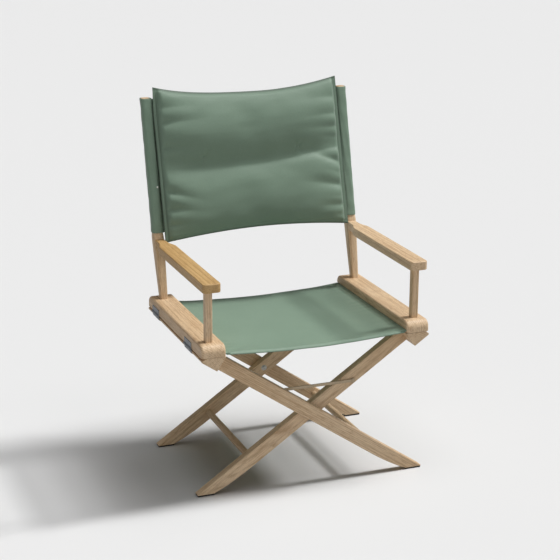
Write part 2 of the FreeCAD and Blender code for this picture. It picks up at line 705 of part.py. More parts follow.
def seat_sling():
    """Band with a sag, ending in a loop around each rod."""
    bottom_z = rod_z - loop_outer_r
    top_z = bottom_z + sling_thick
    sag_x = rail_inner - 1.5            # the sag starts here

    def point(x, z):
        return Vector(x, sling_y0, z)

    top = arc(point(-sag_x, top_z), point(0, top_z - sling_sag), point(sag_x, top_z))
    bottom = arc(point(sag_x, bottom_z), point(0, bottom_z - sling_sag),
                 point(-sag_x, bottom_z))
    outline = Part.Wire([
        top,
        line(point(sag_x, top_z), point(rod_x, top_z)),
        line(point(rod_x, top_z), point(rod_x, bottom_z)),
        line(point(rod_x, bottom_z), point(sag_x, bottom_z)),
        bottom,
        line(point(-sag_x, bottom_z), point(-rod_x, bottom_z)),
        line(point(-rod_x, bottom_z), point(-rod_x, top_z)),
        line(point(-rod_x, top_z), point(-sag_x, top_z))])
    length = sling_y1 - sling_y0
    band = Part.Face(outline).extrude(Vector(0, length, 0))
    loops = [cyl_y(side * rod_x, sling_y0, rod_z, loop_outer_r, length) for side in (-1, 1)]
    return cut_all(fuse([band] + loops),
                   [cyl_y(side * rod_x, sling_y0 - 1, rod_z, loop_inner_r, length + 2)
                    for side in (-1, 1)])


def slab(halves, heights, offsets):
    """Leaning slab. Each argument has an entry for its lower and its upper end: half
    width, z, and (front, back) offsets from the post centre line."""
    rings = []
    for half, z, (front, back) in zip(halves, heights, offsets):
        y0, y1 = post_y(z) + front, post_y(z) + back
        rings.append(Part.makePolygon([Vector(-half, y0, z), Vector(half, y0, z),
                                       Vector(half, y1, z), Vector(-half, y1, z),
                                       Vector(-half, y0, z)]))
    return Part.makeLoft(rings, True, True)


def back_panel():
    """Panel between the sleeves, ending just short of them."""
    heights = (back_z0 + panel_inset, back_z1 - panel_inset)
    halves = [post_x(z) - post_half - sleeve_gap - sleeve_thick - 0.3
              for z, post_half in zip(heights, panel_post_halves)]
    return slab(halves, heights, (panel_offsets, panel_offsets))


def back_cushion():
    """Pad in front of the panel, its lower edge standing off a little further."""
    cushion = slab((cushion_half, cushion_half), (cushion_z0, cushion_z1),
                   ((-10.0 - cushion_thick, -10.0), (-cushion_thick, 0.0)))
    return round_edges(cushion, 9.0, lambda edge: True)


back_sleeve = post_loft(sleeve_stations, grow=sleeve_gap + sleeve_thick).cut(
    post_loft(sleeve_stations, grow=sleeve_gap, extend=1.0))
export("seat_sling", seat_sling())
export("back_sleeve_left", back_sleeve.cut(stud_cyl(1.25, 9.0, -1.0)))
export("back_sleeve_right", mirror(back_sleeve))
export("back_panel", back_panel())
export("back_cushion", back_cushion())
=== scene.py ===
import bpy
import math
import random
import numpy as np
from mathutils import Matrix, Vector


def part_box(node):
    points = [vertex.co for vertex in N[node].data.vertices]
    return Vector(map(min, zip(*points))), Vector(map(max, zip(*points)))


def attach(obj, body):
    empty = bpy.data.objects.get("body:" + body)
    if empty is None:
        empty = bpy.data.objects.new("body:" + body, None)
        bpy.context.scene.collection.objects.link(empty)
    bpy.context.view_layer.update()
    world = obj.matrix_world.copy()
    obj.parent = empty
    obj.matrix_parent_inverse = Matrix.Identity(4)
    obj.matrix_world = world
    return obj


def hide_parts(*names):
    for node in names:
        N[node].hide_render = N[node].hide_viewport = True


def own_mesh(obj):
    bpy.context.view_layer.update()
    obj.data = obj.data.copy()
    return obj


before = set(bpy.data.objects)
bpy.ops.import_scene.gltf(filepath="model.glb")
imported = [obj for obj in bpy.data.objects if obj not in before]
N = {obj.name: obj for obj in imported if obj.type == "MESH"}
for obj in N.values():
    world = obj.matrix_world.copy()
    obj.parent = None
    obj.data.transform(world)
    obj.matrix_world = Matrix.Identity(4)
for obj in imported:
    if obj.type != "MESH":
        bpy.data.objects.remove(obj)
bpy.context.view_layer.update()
random.seed(7)
RNG = np.random.default_rng(11)

# ---------------------------------------------------------------- layout (metres)
# Geometry below is laid out from the middle of the seat rails; YS moves it into the frame.
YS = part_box("seat_rail_left")[0][1] + 0.2115
RAIL_IN = 0.227
LEAN = 0.2443
POST_Y0 = 0.1699
ROD_X, ROD_Z = 0.2385, 0.3695
SLING_Y0, SLING_Y1 = -0.207, 0.2035


def post_y(z):
    """Y of the rear post's centre line at height z, in the frame."""
    return POST_Y0 + (z - 0.388) * LEAN + YS


def post_cx(z):
    """X of the rear post's centre line: the posts splay very slightly."""
    return 0.258 + 0.0028 * (z - 0.388) / 0.481


# ---------------------------------------------------------------- shader helpers
class G:
    """One material's node tree, with arithmetic on sockets."""

    def __init__(self, name):
        self.m = bpy.data.materials.new(name)
        self.m.use_nodes = True
        self.t = self.m.node_tree
        self.t.nodes.clear()

    def node(self, kind, **kw):
        n = self.t.nodes.new(kind)
        for k, v in kw.items():
            setattr(n, k, v)
        return n

    def link(self, a, b):
        self.t.links.new(a.o if isinstance(a, S) else a, b)

    def put(self, sock, v):
        if isinstance(v, S):
            self.t.links.new(v.o, sock)
        elif v is not None:
            sock.default_value = v

    def coords(self):
        return S(self, self.node("ShaderNodeTexCoord").outputs["Object"])

    def rest(self):
        n = self.node("ShaderNodeAttribute", attribute_name="rest_co")
        return S(self, n.outputs["Vector"])

    def dot(self, v, axis):
        n = self.node("ShaderNodeVectorMath", operation="DOT_PRODUCT")
        self.link(v, n.inputs[0])
        n.inputs[1].default_value = axis
        return S(self, n.outputs["Value"])

    def xyz(self, x, y, z):
        n = self.node("ShaderNodeCombineXYZ")
        for i, v in enumerate((x, y, z)):
            self.put(n.inputs[i], v)
        return S(self, n.outputs[0])

    def noise(self, vec, scale=1.0, detail=2.0, rough=0.5, dist=0.0):
        n = self.node("ShaderNodeTexNoise")
        self.link(vec, n.inputs["Vector"])
        n.inputs["Scale"].default_value = scale
        n.inputs["Detail"].default_value = detail
        n.inputs["Roughness"].default_value = rough
        n.inputs["Distortion"].default_value = dist
        return S(self, n.outputs[0])

    def voronoi(self, vec, scale=1.0, feature="F1"):
        n = self.node("ShaderNodeTexVoronoi", feature=feature)
        self.link(vec, n.inputs["Vector"])
        n.inputs["Scale"].default_value = scale
        return S(self, n.outputs["Distance"])

    def ramp(self, fac, stops, interp="LINEAR"):
        n = self.node("ShaderNodeValToRGB")
        n.color_ramp.interpolation = interp
        el = n.color_ramp.elements
        while len(el) < len(stops):
            el.new(0.5)
        for e, (p, c) in zip(el, stops):
            e.position = p
            e.color = (c, c, c, 1) if isinstance(c, (int, float)) else tuple(c) + (1,)
        self.link(fac, n.inputs[0])
        return S(self, n.outputs[0])

    def mix(self, fac, a, b, blend="MIX"):
        n = self.node("ShaderNodeMix", data_type="RGBA", blend_type=blend)
        self.put(n.inputs[0], fac)
        for i, v in ((6, a), (7, b)):
            if isinstance(v, tuple):
                n.inputs[i].default_value = v + (1,) if len(v) == 3 else v
            else:
                self.put(n.inputs[i], v)
        return S(self, n.outputs[2])

    def bump(self, height, dist, strength=1.0, normal=None):
        n = self.node("ShaderNodeBump")
        n.inputs["Strength"].default_value = strength
        n.inputs["Distance"].default_value = dist
        self.link(height, n.inputs["Height"])
        if normal is not None:
            self.link(normal, n.inputs["Normal"])
        return S(self, n.outputs[0])

    def bevel(self, radius, samples=3):
        n = self.node("ShaderNodeBevel", samples=samples)
        n.inputs["Radius"].default_value = radius
        return S(self, n.outputs[0])

    def finish(self, color, rough, normal=None, **kw):
        b = self.node("ShaderNodeBsdfPrincipled")
        self.put(b.inputs["Base Color"], color if not isinstance(color, tuple) else color + (1,))
        self.put(b.inputs["Roughness"], rough)
        if normal is not None:
            self.link(normal, b.inputs["Normal"])
        for k, v in kw.items():
            self.put(b.inputs[k.replace("_", " ")], v)
        o = self.node("ShaderNodeOutputMaterial")
        self.t.links.new(b.outputs[0], o.inputs["Surface"])
        return self.m


class S:
    """A socket that can be added, multiplied and clamped."""

    def __init__(self, g, o):
        self.g, self.o = g, o

    def op(self, name, b=None, c=None, clamp=False):
        n = self.g.node("ShaderNodeMath", operation=name, use_clamp=clamp)
        for i, v in enumerate((self, b, c)):
            self.g.put(n.inputs[i], v) if v is not None else None
        return S(self.g, n.outputs[0])

    def __add__(self, b):
        return self.op("ADD", b)

    def __sub__(self, b):
        return self.op("SUBTRACT", b)

    def __mul__(self, b):
        return self.op("MULTIPLY", b)

    def __truediv__(self, b):
        return self.op("DIVIDE", b)

    def clamp(self):
        return self.op("ADD", 0.0, clamp=True)


def srgb(r, g, b):
    """Linear colour from 0-255 display values."""
    return tuple((v / 255.0 / 12.92) if v / 255.0 <= 0.04045 else ((v / 255.0 + 0.055) / 1.055) ** 2.4 for v in (r, g, b))


# ---------------------------------------------------------------- materials
def oak(name, grain, side, seed=0.0, pith=(0.14, 0.0), ring=0.0034, tone=1.0, warm=0.0, tilt=0.012):
    """Light oiled oak. grain: along the fibres; side: across the ring planes; pith: the log's centre from the piece."""
    g = G(name)
    gv = Vector(grain).normalized()
    av = Vector(side)
    av = (av - gv * av.dot(gv)).normalized()
    bv = gv.cross(av)
    p = g.coords()
    L = g.dot(p, gv) + seed * 3.71
    a = g.dot(p, av)
    b = g.dot(p, bv)
    wob = g.noise(g.xyz(L * 2.6, a * 14.0, b * 14.0), 1.0, 3.0, 0.55)
    wob2 = g.noise(g.xyz(L * 11.0, a * 60.0, b * 60.0 + seed), 1.0, 2.0, 0.5)
    ax = a + (wob - 0.5) * 0.030 + (wob2 - 0.5) * 0.0040 - pith[0] + L * tilt
    bx = b + (wob - 0.5) * 0.010 - pith[1]
    r = (ax * ax + bx * bx).op("SQRT")
    rr = r / ring + (g.noise(g.xyz(r * 60.0, L * 0.6, seed), 1.0, 1.0) - 0.5) * 2.4
    band = rr.op("FRACT")
    early = g.ramp(band, [(0.0, 1.0), (0.10, 0.85), (0.30, 0.18), (0.72, 0.0), (0.92, 0.30), (1.0, 1.0)])
    fibre = g.noise(g.xyz(L * 34.0, a * 1250.0, b * 1250.0), 1.0, 2.0, 0.6)
    streak = g.noise(g.xyz(L * 5.0, a * 190.0, b * 190.0 + seed), 1.0, 3.0, 0.6)
    pore = g.noise(g.xyz(L * 120.0, a * 2300.0, b * 2300.0), 1.0, 1.0, 0.5)
    pores = g.ramp(pore, [(0.60, 0.0), (0.72, 1.0)]) * (early * 0.75 + 0.25)
    cloud = g.noise(g.xyz(L * 3.0, a * 9.0, b * 9.0), 1.0, 2.0, 0.5)
    light = tuple(v * tone for v in srgb(239 - 12 * warm, 212 - 24 * warm, 176 - 48 * warm))
    mid = tuple(v * tone for v in srgb(219 - 10 * warm, 184 - 18 * warm, 140 - 36 * warm))
    dark = tuple(v * tone for v in srgb(156, 116 - 6 * warm, 80 - 16 * warm))
    col = g.mix(g.ramp(cloud, [(0.35, 0.0), (0.65, 1.0)]) * 0.65, light, mid)
    patchy = g.ramp(g.noise(g.xyz(L * 7.0, a * 70.0, b * 70.0 + seed), 1.0, 2.0, 0.6), [(0.36, 0.15), (0.62, 1.0)])
    col = g.mix(early * patchy * 0.74, col, tuple(0.45 * m_ + 0.55 * d_ for m_, d_ in zip(mid, dark)))
    # short broken flecks along the fibres, some pale (rays), some brown
    fleck = g.noise(g.xyz(L * 42.0 + seed, a * 330.0, b * 330.0), 1.0, 2.0, 0.55)
    facing = g.dot(S(g, g.node("ShaderNodeTexCoord").outputs["Normal"]), gv).op("ABSOLUTE")
    fleck = (fleck - 0.49) * g.ramp(facing, [(0.45, 1.0), (0.85, 0.25)]) + 0.49
    col = g.mix(g.ramp(fleck, [(0.56, 0.0), (0.66, 1.0)]) * 0.46, col, tuple(0.35 * m_ + 0.65 * d_ for m_, d_ in zip(mid, dark)))
    col = g.mix(g.ramp(fleck, [(0.32, 1.0), (0.42, 0.0)]) * 0.50, col, tuple(min(1.0, v * 1.08) for v in light))
    col = g.mix((g.ramp(streak, [(0.50, 0.0), (0.66, 1.0)])) * 0.62, col, tuple(0.55 * m_ + 0.45 * d_ for m_, d_ in zip(mid, dark)))
    col = g.mix((g.ramp(streak, [(0.30, 1.0), (0.44, 0.0)])) * 0.45, col, tuple(min(1.0, v * 1.06) for v in light))
    col = g.mix((g.ramp(fibre, [(0.48, 0.0), (0.72, 1.0)])) * 0.42, col, dark)
    col = g.mix(pores * 0.6, col, tuple(v * tone for v in srgb(118, 88, 60)))
    # painted highlight: the edges are made a little lighter where the softened normal leaves the true one
    bev = g.bevel(0.0011)
    geo = g.node("ShaderNodeNewGeometry")
    dn = g.node("ShaderNodeVectorMath", operation="DOT_PRODUCT")
    g.link(bev, dn.inputs[0])
    g.link(geo.outputs["Normal"], dn.inputs[1])
    edge = g.ramp(S(g, dn.outputs["Value"]), [(0.90, 1.0), (0.995, 0.0)])
    # painted highlight mixed into the wood colour along the edges
    col = g.mix(edge * 0.38, col, tuple(min(1.0, v * 1.12) for v in light))
    height = fibre * 0.5 + streak * 0.25 - pores * 0.6 - early * 0.25
    rough = fibre * 0.14 + early * 0.10 + 0.40
    return g.finish(col, rough, g.bump(height, 0.00022, 0.55, bev), Coat_Weight=0.10, Coat_Roughness=0.35, Specular_IOR_Level=0.42)


def cloth(name, seed=0.0, tone=1.0, thread=1500.0):
    """Sage green coated canvas: tight weave under a smooth soft coat."""
    g = G(name)
    p = g.rest()
    sep = g.node("ShaderNodeSeparateXYZ")
    g.link(p, sep.inputs[0])
    x, y, z = (S(g, sep.outputs[i]) for i in range(3))
    v = y * 0.97 + z * 0.85
    u = x
    wu = (u * (thread * 2 * math.pi)).op("SINE")
    wv = (v * (thread * 2 * math.pi)).op("SINE")
    weave = wu * wv * 0.5 + 0.5
    slub_u = g.noise(g.xyz(u * 40.0, v * 900.0, seed), 1.0, 2.0)
    slub_v = g.noise(g.xyz(u * 900.0, v * 40.0, seed + 4.0), 1.0, 2.0)
    cloud = g.noise(g.xyz(x * 9.0, y * 9.0 + seed, z * 9.0), 1.0, 3.0, 0.55)
    fleck = g.noise(g.xyz(x * 420.0, y * 420.0, z * 420.0), 1.0, 2.0, 0.6)
    pebble = g.voronoi(g.xyz(x * 900.0, y * 900.0, z * 900.0), 1.0)
    base = tuple(c * tone for c in srgb(127, 151, 131))
    lite = tuple(c * tone for c in srgb(138, 162, 142))
    deep = tuple(c * tone for c in srgb(108, 132, 112))
    col = g.mix(g.ramp(cloud, [(0.32, 0.0), (0.70, 1.0)]) * 0.6, base, lite)
    col = g.mix(g.ramp(fleck, [(0.40, 0.0), (0.75, 1.0)]) * 0.28, col, deep)
    col = g.mix((weave * 0.5 + (slub_u + slub_v) * 0.25) * 0.22, col, deep)
    # painted shade: the seam attribute darkens the cloth along the cushion's seams and edges
    seam = g.node("ShaderNodeAttribute", attribute_name="seam_painted_shade")
    col = g.mix(S(g, seam.outputs["Fac"]) * 0.75, col, tuple(c * 0.36 for c in deep))
    height = weave * 0.35 + slub_u * 0.45 + slub_v * 0.45 + pebble * 0.30 + fleck * 0.25
    rough = fleck * 0.12 + cloud * 0.08 + 0.42
    return g.finish(col, rough, g.bump(height, 0.00022, 0.42), Sheen_Weight=0.22, Sheen_Roughness=0.45,
                    Specular_IOR_Level=0.40)


def thread_mat(name, tone=1.0):
    """Twisted sewing thread."""
    g = G(name)
    p = g.coords()
    tw = g.noise(p, 2600.0, 2.0)
    big = g.noise(p, 130.0, 1.0)
    col = g.mix(tw, tuple(c * tone for c in srgb(96, 122, 100)), tuple(c * tone for c in srgb(150, 170, 150)))
    col = g.mix(big * 0.3, col, srgb(110, 130, 110))
    return g.finish(col, tw * 0.2 + 0.55, g.bump(tw, 0.0001, 0.6), Sheen_Weight=0.3)


def steel(name, tint=(148, 154, 160), rough=0.36, brush=(0, 1, 0), seed=0.0, bevel=0.0004, metal=0.9):
    """Zinc-plated or satin metal, faintly brushed, with spangle and softened edges."""
    g = G(name)
    p = g.coords()
    bv = Vector(brush).normalized()
    sv = bv.orthogonal().normalized()
    tv = bv.cross(sv)
    L, a, b = g.dot(p, bv), g.dot(p, sv), g.dot(p, tv)
    lines = g.noise(g.xyz(L * 60.0, a * 3200.0, b * 3200.0 + seed), 1.0, 2.0)
    spang = g.voronoi(g.xyz(L * 260.0, a * 260.0, b * 260.0), 1.0)
    stain = g.noise(p, 55.0, 3.0, 0.6)
    base = srgb(*tint)
    col = g.mix(spang * 0.5, base, tuple(c * 1.18 for c in base))
    col = g.mix(g.ramp(stain, [(0.45, 0.0), (0.8, 1.0)]) * 0.5, col, tuple(c * 0.66 for c in base))
    bev = g.bevel(bevel)
    height = lines * 0.6 + stain * 0.3
    return g.finish(col, lines * 0.14 + stain * 0.16 + rough - 0.1, g.bump(height, 0.00005, 0.6, bev), Metallic=metal)


def rubber(name):
    """Moulded black foot pad with a fine spark-eroded skin and patches of dust."""
    g = G(name)
    p = g.coords()
    fine = g.noise(p, 1900.0, 2.0)
    dust = g.noise(p, 60.0, 3.0)
    col = g.mix(g.ramp(dust, [(0.45, 0.0), (0.8, 1.0)]) * 0.35, srgb(30, 29, 28), srgb(74, 70, 66))
    return g.finish(col, fine * 0.2 + 0.5, g.bump(fine, 0.0001, 0.5, g.bevel(0.0004)))


TH = math.radians(34.33)
UA, UB = (math.cos(TH), 0, -math.sin(TH)), (math.cos(TH), 0, math.sin(TH))
NA, NB = (math.sin(TH), 0, math.cos(TH)), (-math.sin(TH), 0, math.cos(TH))
POST_DIR = (0, LEAN, 1)
Yv, Xv, Zv = (0, 1, 0), (1, 0, 0), (0, 0, 1)
wood = {
    "leg_a_front": oak("oak_leg_a_front", UA, Yv, 1.3, (0.030, 0.004), 0.0042, 1.0, 0.0, 0.05),
    "leg_a_rear": oak("oak_leg_a_rear", UA, Yv, 5.1, (0.21, -0.006), 0.0040),
    "leg_b_front": oak("oak_leg_b_front", UB, Yv, 8.7, (-0.22, 0.003), 0.0038, 1.0, 0.0, 0.05),
    "leg_b_rear": oak("oak_leg_b_rear", UB, Yv, 11.9, (0.02, 0.004), 0.0041),
    "hinge_bar_a": oak("oak_bar_a", Yv, (0.8, 0, 0.6), 2.2, (0.08, 0.0)),
    "hinge_bar_b": oak("oak_bar_b", Yv, (-0.8, 0, 0.6), 3.6, (0.1, 0.0)),
    "stretcher_dowel_a": oak("oak_dowel_a", Yv, Xv, 4.4, (0.06, 0.0), 0.003, 0.97),
    "stretcher_dowel_b": oak("oak_dowel_b", Yv, Xv, 6.8, (0.05, 0.0), 0.003, 0.97),
    "seat_rail_left": oak("oak_rail_left", Yv, Xv, 7.7, (0.02, -0.3), 0.0046),
    "seat_rail_right": oak("oak_rail_right", Yv, Xv, 9.2, (-0.02, -0.28), 0.0044),
    "armrest_left": oak("oak_arm_left", Yv, Xv, 10.4, (-0.10, 0.45), 0.0036, 0.86, 1.0),
    "armrest_right": oak("oak_arm_right", Yv, Xv, 13.5, (0.38, 0.45), 0.0036, 1.0),
    "front_post_left": oak("oak_fpost_left", Zv, Yv, 14.1, (0.06, 0.0), 0.003),
    "front_post_right": oak("oak_fpost_right", Zv, Yv, 15.6, (0.05, 0.0), 0.003),
    "rear_post_left": oak("oak_rpost_left", POST_DIR, Xv, 16.8, (-0.20, 0.0), 0.0034),
    "rear_post_right": oak("oak_rpost_right", POST_DIR, Xv, 17.9, (0.34, 0.0), 0.0034),
    "armrest_dowel_left": oak("oak_adowel_left", Yv, Xv, 18.3),
    "armrest_dowel_right": oak("oak_adowel_right", Yv, Xv, 19.1),
}
pad_m = rubber("pad_black")
zinc = steel("zinc_hinge", (158, 162, 168), 0.55, Yv, 0.0, 0.0004, 0.35)
zinc_screw = steel("zinc_screw", (172, 176, 178), 0.34, Xv, 3.0, 0.0002)
bolt_m = steel("bolt_steel", (212, 212, 208), 0.34, Yv, 5.0, 0.0004, 0.5)
rod_m = steel("rod_steel", (120, 122, 124), 0.38, Yv, 7.0)
stay_m = steel("stay_satin", (190, 172, 146), 0.44, Xv, 9.0)
stud_m = steel("stud_satin", (214, 216, 208), 0.34, Yv, 11.0, 0.0002)

for n, o in N.items():
    if n in wood:
        m = wood[n]
    elif n.startswith("foot_pad"):
        m = pad_m
    elif n.startswith(("hinge_leg_leaves", "hinge_rail_leaves")):
        m = zinc
    elif "screws" in n or n.startswith("hinge_pins"):
        m = zinc_screw
    elif n.startswith(("pivot_bolt", "pivot_washers", "pivot_spacers", "pivot_inserts")):
        m = bolt_m
    elif n.startswith("sling_rod"):
        m = rod_m
    elif n.startswith("stay"):
        m = stay_m
    elif n.startswith("sleeve_stud"):
        m = stud_m
    else:
        m = None
    if m is not None:
        o.data.materials.clear()
        o.data.materials.append(m)


# ---------------------------------------------------------------- mesh helpers
def make(name, verts, faces, mat, body="left_arm_frame", smooth=True):
    me = bpy.data.meshes.new(name)
    me.from_pydata([tuple(v) for v in verts], [], faces)
    me.validate()
    me.update()
    ob = bpy.data.objects.new(name, me)
    bpy.context.scene.collection.objects.link(ob)
    at = me.attributes.new("rest_co", "FLOAT_VECTOR", "POINT")
    co = np.array([v.co for v in me.vertices], np.float32)
    at.data.foreach_set("vector", co.ravel())
    if smooth:
        me.polygons.foreach_set("use_smooth", [True] * len(me.polygons))
    me.materials.append(mat)
    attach(ob, body)
    return ob


def normals(pos):
    """Unit normals of an (nu, nv, 3) grid."""
    du = np.gradient(pos, axis=0)
    dv = np.gradient(pos, axis=1)
    n = np.cross(du, dv)
    return n / np.maximum(np.linalg.norm(n, axis=2, keepdims=True), 1e-12)


def sheet_mesh(pos, thick, wrap_u=False):
    """Closed solid round a mid surface: top, bottom, and a rounded rim."""
    nu, nv = pos.shape[:2]
    if wrap_u:
        ext = np.concatenate([pos[-1:], pos, pos[:1]], 0)
        nrm = normals(ext)[1:-1]
    else:
        nrm = normals(pos)
    t = np.broadcast_to(np.asarray(thick, float), (nu, nv))[..., None] / 2.0
    top, bot = pos + nrm * t, pos - nrm * t
    verts = [*top.reshape(-1, 3), *bot.reshape(-1, 3)]
    iT = np.arange(nu * nv).reshape(nu, nv)
    iB = iT + nu * nv
    faces = []
    U = nu if wrap_u else nu - 1
    for i in range(U):
        k = (i + 1) % nu
        for j in range(nv - 1):
            faces.append((iT[i, j], iT[k, j], iT[k, j + 1], iT[i, j + 1]))
            faces.append((iB[i, j], iB[i, j + 1], iB[k, j + 1], iB[k, j]))

    def rim(idx, out_dir):
        """Rounded edge along a border: idx are grid indices in order, out_dir the way out."""
        ring = []
        for (i, j), d in zip(idx, out_dir):
            tt = float(t[i, j, 0])
            mid = []
            for ang in (35, 90, 145):
                c, s_ = math.cos(math.radians(ang)), math.sin(math.radians(ang))
                verts.append(pos[i, j] + nrm[i, j] * tt * c + d * tt * s_)
                mid.append(len(verts) - 1)
            ring.append((iT[i, j], *mid, iB[i, j]))
        return ring

    def stitch(ring, closed):
        m = len(ring)
        for a in range(m if closed else m - 1):
            r0, r1 = ring[a], ring[(a + 1) % m]
            for q in range(4):
                faces.append((r0[q], r0[q + 1], r1[q + 1], r1[q]))

    def unit(v):
        return v / np.maximum(np.linalg.norm(v, axis=-1, keepdims=True), 1e-12)

    if wrap_u:
        for j, sgn in ((0, -1), (nv - 1, 1)):
            d = unit((pos[:, 1] - pos[:, 0]) if j == 0 else (pos[:, -1] - pos[:, -2])) * sgn
            idx = [(i, j) for i in range(nu)]
            r = rim(idx, d)
            stitch(r if sgn > 0 else r[::-1], True)
    else:
        loop, dirs = [], []
        e0, e1 = unit(pos[0] - pos[1]), unit(pos[-1] - pos[-2])
        f0, f1 = unit(pos[:, 0] - pos[:, 1]), unit(pos[:, -1] - pos[:, -2])
        for j in range(nv):
            loop.append((0, j)); d = e0[j]
            if j == 0: d = unit(e0[j] + f0[0])
            if j == nv - 1: d = unit(e0[j] + f1[0])
            dirs.append(d)
        for i in range(1, nu):
            loop.append((i, nv - 1)); d = f1[i]
            if i == nu - 1: d = unit(f1[i] + e1[nv - 1])
            dirs.append(d)
        for j in range(nv - 2, -1, -1):
            loop.append((nu - 1, j)); d = e1[j]
            if j == 0: d = unit(e1[0] + f0[nu - 1])
            dirs.append(d)
        for i in range(nu - 2, 0, -1):
            loop.append((i, 0)); dirs.append(f0[i])
        stitch(rim(loop, dirs)[::-1], True)
    return np.array(verts), faces


def fix_normals(ob):
    import bmesh
    bm = bmesh.new()
    bm.from_mesh(ob.data)
    bmesh.ops.recalc_face_normals(bm, faces=bm.faces)
    bm.to_mesh(ob.data)
    bm.free()


def smooth_noise(x, y, seed, octaves=3):
    """Cheap smooth 2D noise from fixed sines, roughly -1..1."""
    r = np.random.default_rng(seed)
    s = np.zeros(np.broadcast(x, y).shape)
    for k in range(octaves * 4):
        f = (1.6 ** (k // 4)) * (0.7 + 0.6 * r.random())
        a = r.random() * 2 * math.pi
        s = s + np.sin(2 * math.pi * f * (x * math.cos(a) + y * math.sin(a)) + r.random() * 6.28) / (1.5 ** (k // 4))
    return s / (octaves * 1.6)


def stitches(name, paths, mat, body, pitch=0.0034, length=0.0024, radius=0.00032):
    """Short raised threads along polylines. paths: list of (points (n,3), normals (n,3))."""
    verts, faces = [], []
    for pts, nrm in paths:
        pts, nrm = np.asarray(pts), np.asarray(nrm)
        seg = np.linalg.norm(np.diff(pts, axis=0), axis=1)
        cum = np.concatenate([[0], np.cumsum(seg)])
        k = int(cum[-1] / pitch)
        for q in range(k):
            s0 = (q + 0.5) * pitch - length / 2
            s1 = s0 + length
            ring_prev = None
            for w in range(5):
                s_ = s0 + (s1 - s0) * w / 4
                c = np.array([np.interp(s_, cum, pts[:, a]) for a in range(3)])
                n = np.array([np.interp(s_, cum, nrm[:, a]) for a in range(3)])
                n /= np.linalg.norm(n)
                c2 = np.array([np.interp(min(s_ + 1e-4, cum[-1]), cum, pts[:, a]) for a in range(3)])
                c1 = np.array([np.interp(max(s_ - 1e-4, 0), cum, pts[:, a]) for a in range(3)])
                d = (c2 - c1) / np.linalg.norm(c2 - c1)
                sd = np.cross(d, n)
                rise = radius * (0.55 * math.sin(math.pi * w / 4) - 0.15)
                rr = radius * (0.45, 0.95, 1.0, 0.95, 0.45)[w]
                ring = []
                for h in range(6):
                    an = h * math.pi / 3
                    verts.append(c + n * (rise + rr * math.sin(an)) + sd * rr * math.cos(an))
                    ring.append(len(verts) - 1)
                if ring_prev:
                    for h in range(6):
                        faces.append((ring_prev[h], ring_prev[(h + 1) % 6], ring[(h + 1) % 6], ring[h]))
                else:
                    faces.append(tuple(ring[::-1]))
                ring_prev = ring
            faces.append(tuple(ring_prev))
    ob = make(name, verts, faces, mat, body)
    fix_normals(ob)
    return ob


fab_seat = cloth("fabric_seat", 1.0)
# the back's cloth is the seat's fabric at tone 0.90: painted shade on the back
fab_back_shaded = cloth("fabric_back_shaded", 6.0, 0.90)
fab_sleeve = cloth("fabric_sleeve", 9.0)
thread = thread_mat("thread_sage")

# ---------------------------------------------------------------- seat sling
SAG = 0.0088


def sag_at(x, y):
    """Drop of the sling's surface below its level at the rails; x, y in metres."""
    s = np.clip(1 - (x / 0.2265) ** 2, 0, 1)
    v = np.clip((y - SLING_Y0) / (SLING_Y1 - SLING_Y0), 0, 1)
    free = 1.0 + 0.10 * np.cos(2 * np.pi * v)
    d = SAG * s * free
    # soft pull lines from the four corners, and a faint slackness across
    for sx in (-1, 1):
        for cy in (SLING_Y0, SLING_Y1):
            dx, dy = (x - sx * RAIL_IN), (y - cy)
            r = np.sqrt(dx * dx + dy * dy) + 1e-6
            ang = np.arctan2(np.abs(dy), np.abs(dx))
            d = d + 0.0011 * np.exp(-((r - 0.045) / 0.05) ** 2) * np.sin(ang * 7.0 + sx * 0.7 + cy * 9) * s ** 0.35
    d = d + 0.0005 * smooth_noise(x / 0.16, y / 0.22, 5) * s ** 0.5
    # narrow ripples where the cloth leaves the rails
    near = np.exp(-((RAIL_IN - np.abs(x)) / 0.020)) * np.clip((RAIL_IN - np.abs(x)) / 0.004, 0, 1)
    d = d + 0.0007 * near * np.sin(2 * np.pi * y / 0.031 + 3 * np.sin(y * 37.0))
    return d


SPLIT = 0.2265


def sling_side():
    """Points (x, z0, kind) of the left side: from the hem's end, round the rod, to the rail's inner face."""
    half = []
    z_lo, z_up = 0.36565, 0.36685
    for x in np.linspace(-0.2150, ROD_X * -1, 16):
        half.append((x, z_lo, 1))
    for an in np.radians(np.linspace(-97, -313, 28)):
        half.append((-ROD_X + 0.00385 * math.cos(an), ROD_Z + 0.00385 * math.sin(an), 2))
    for x, dz in ((-0.2348, 0.0007), (-0.2335, 0.00015), (-0.2320, 0.0)):
        half.append((x, z_up + dz, 2))
    for x in np.linspace(-0.2305, -SPLIT, 4):
        half.append((x, z_up, 0))
    return half


ny = 120
vv = np.linspace(0, 1, ny)
vv = 0.5 - 0.5 * np.cos(np.pi * vv)
vv = 0.35 * vv + 0.65 * np.linspace(0, 1, ny)


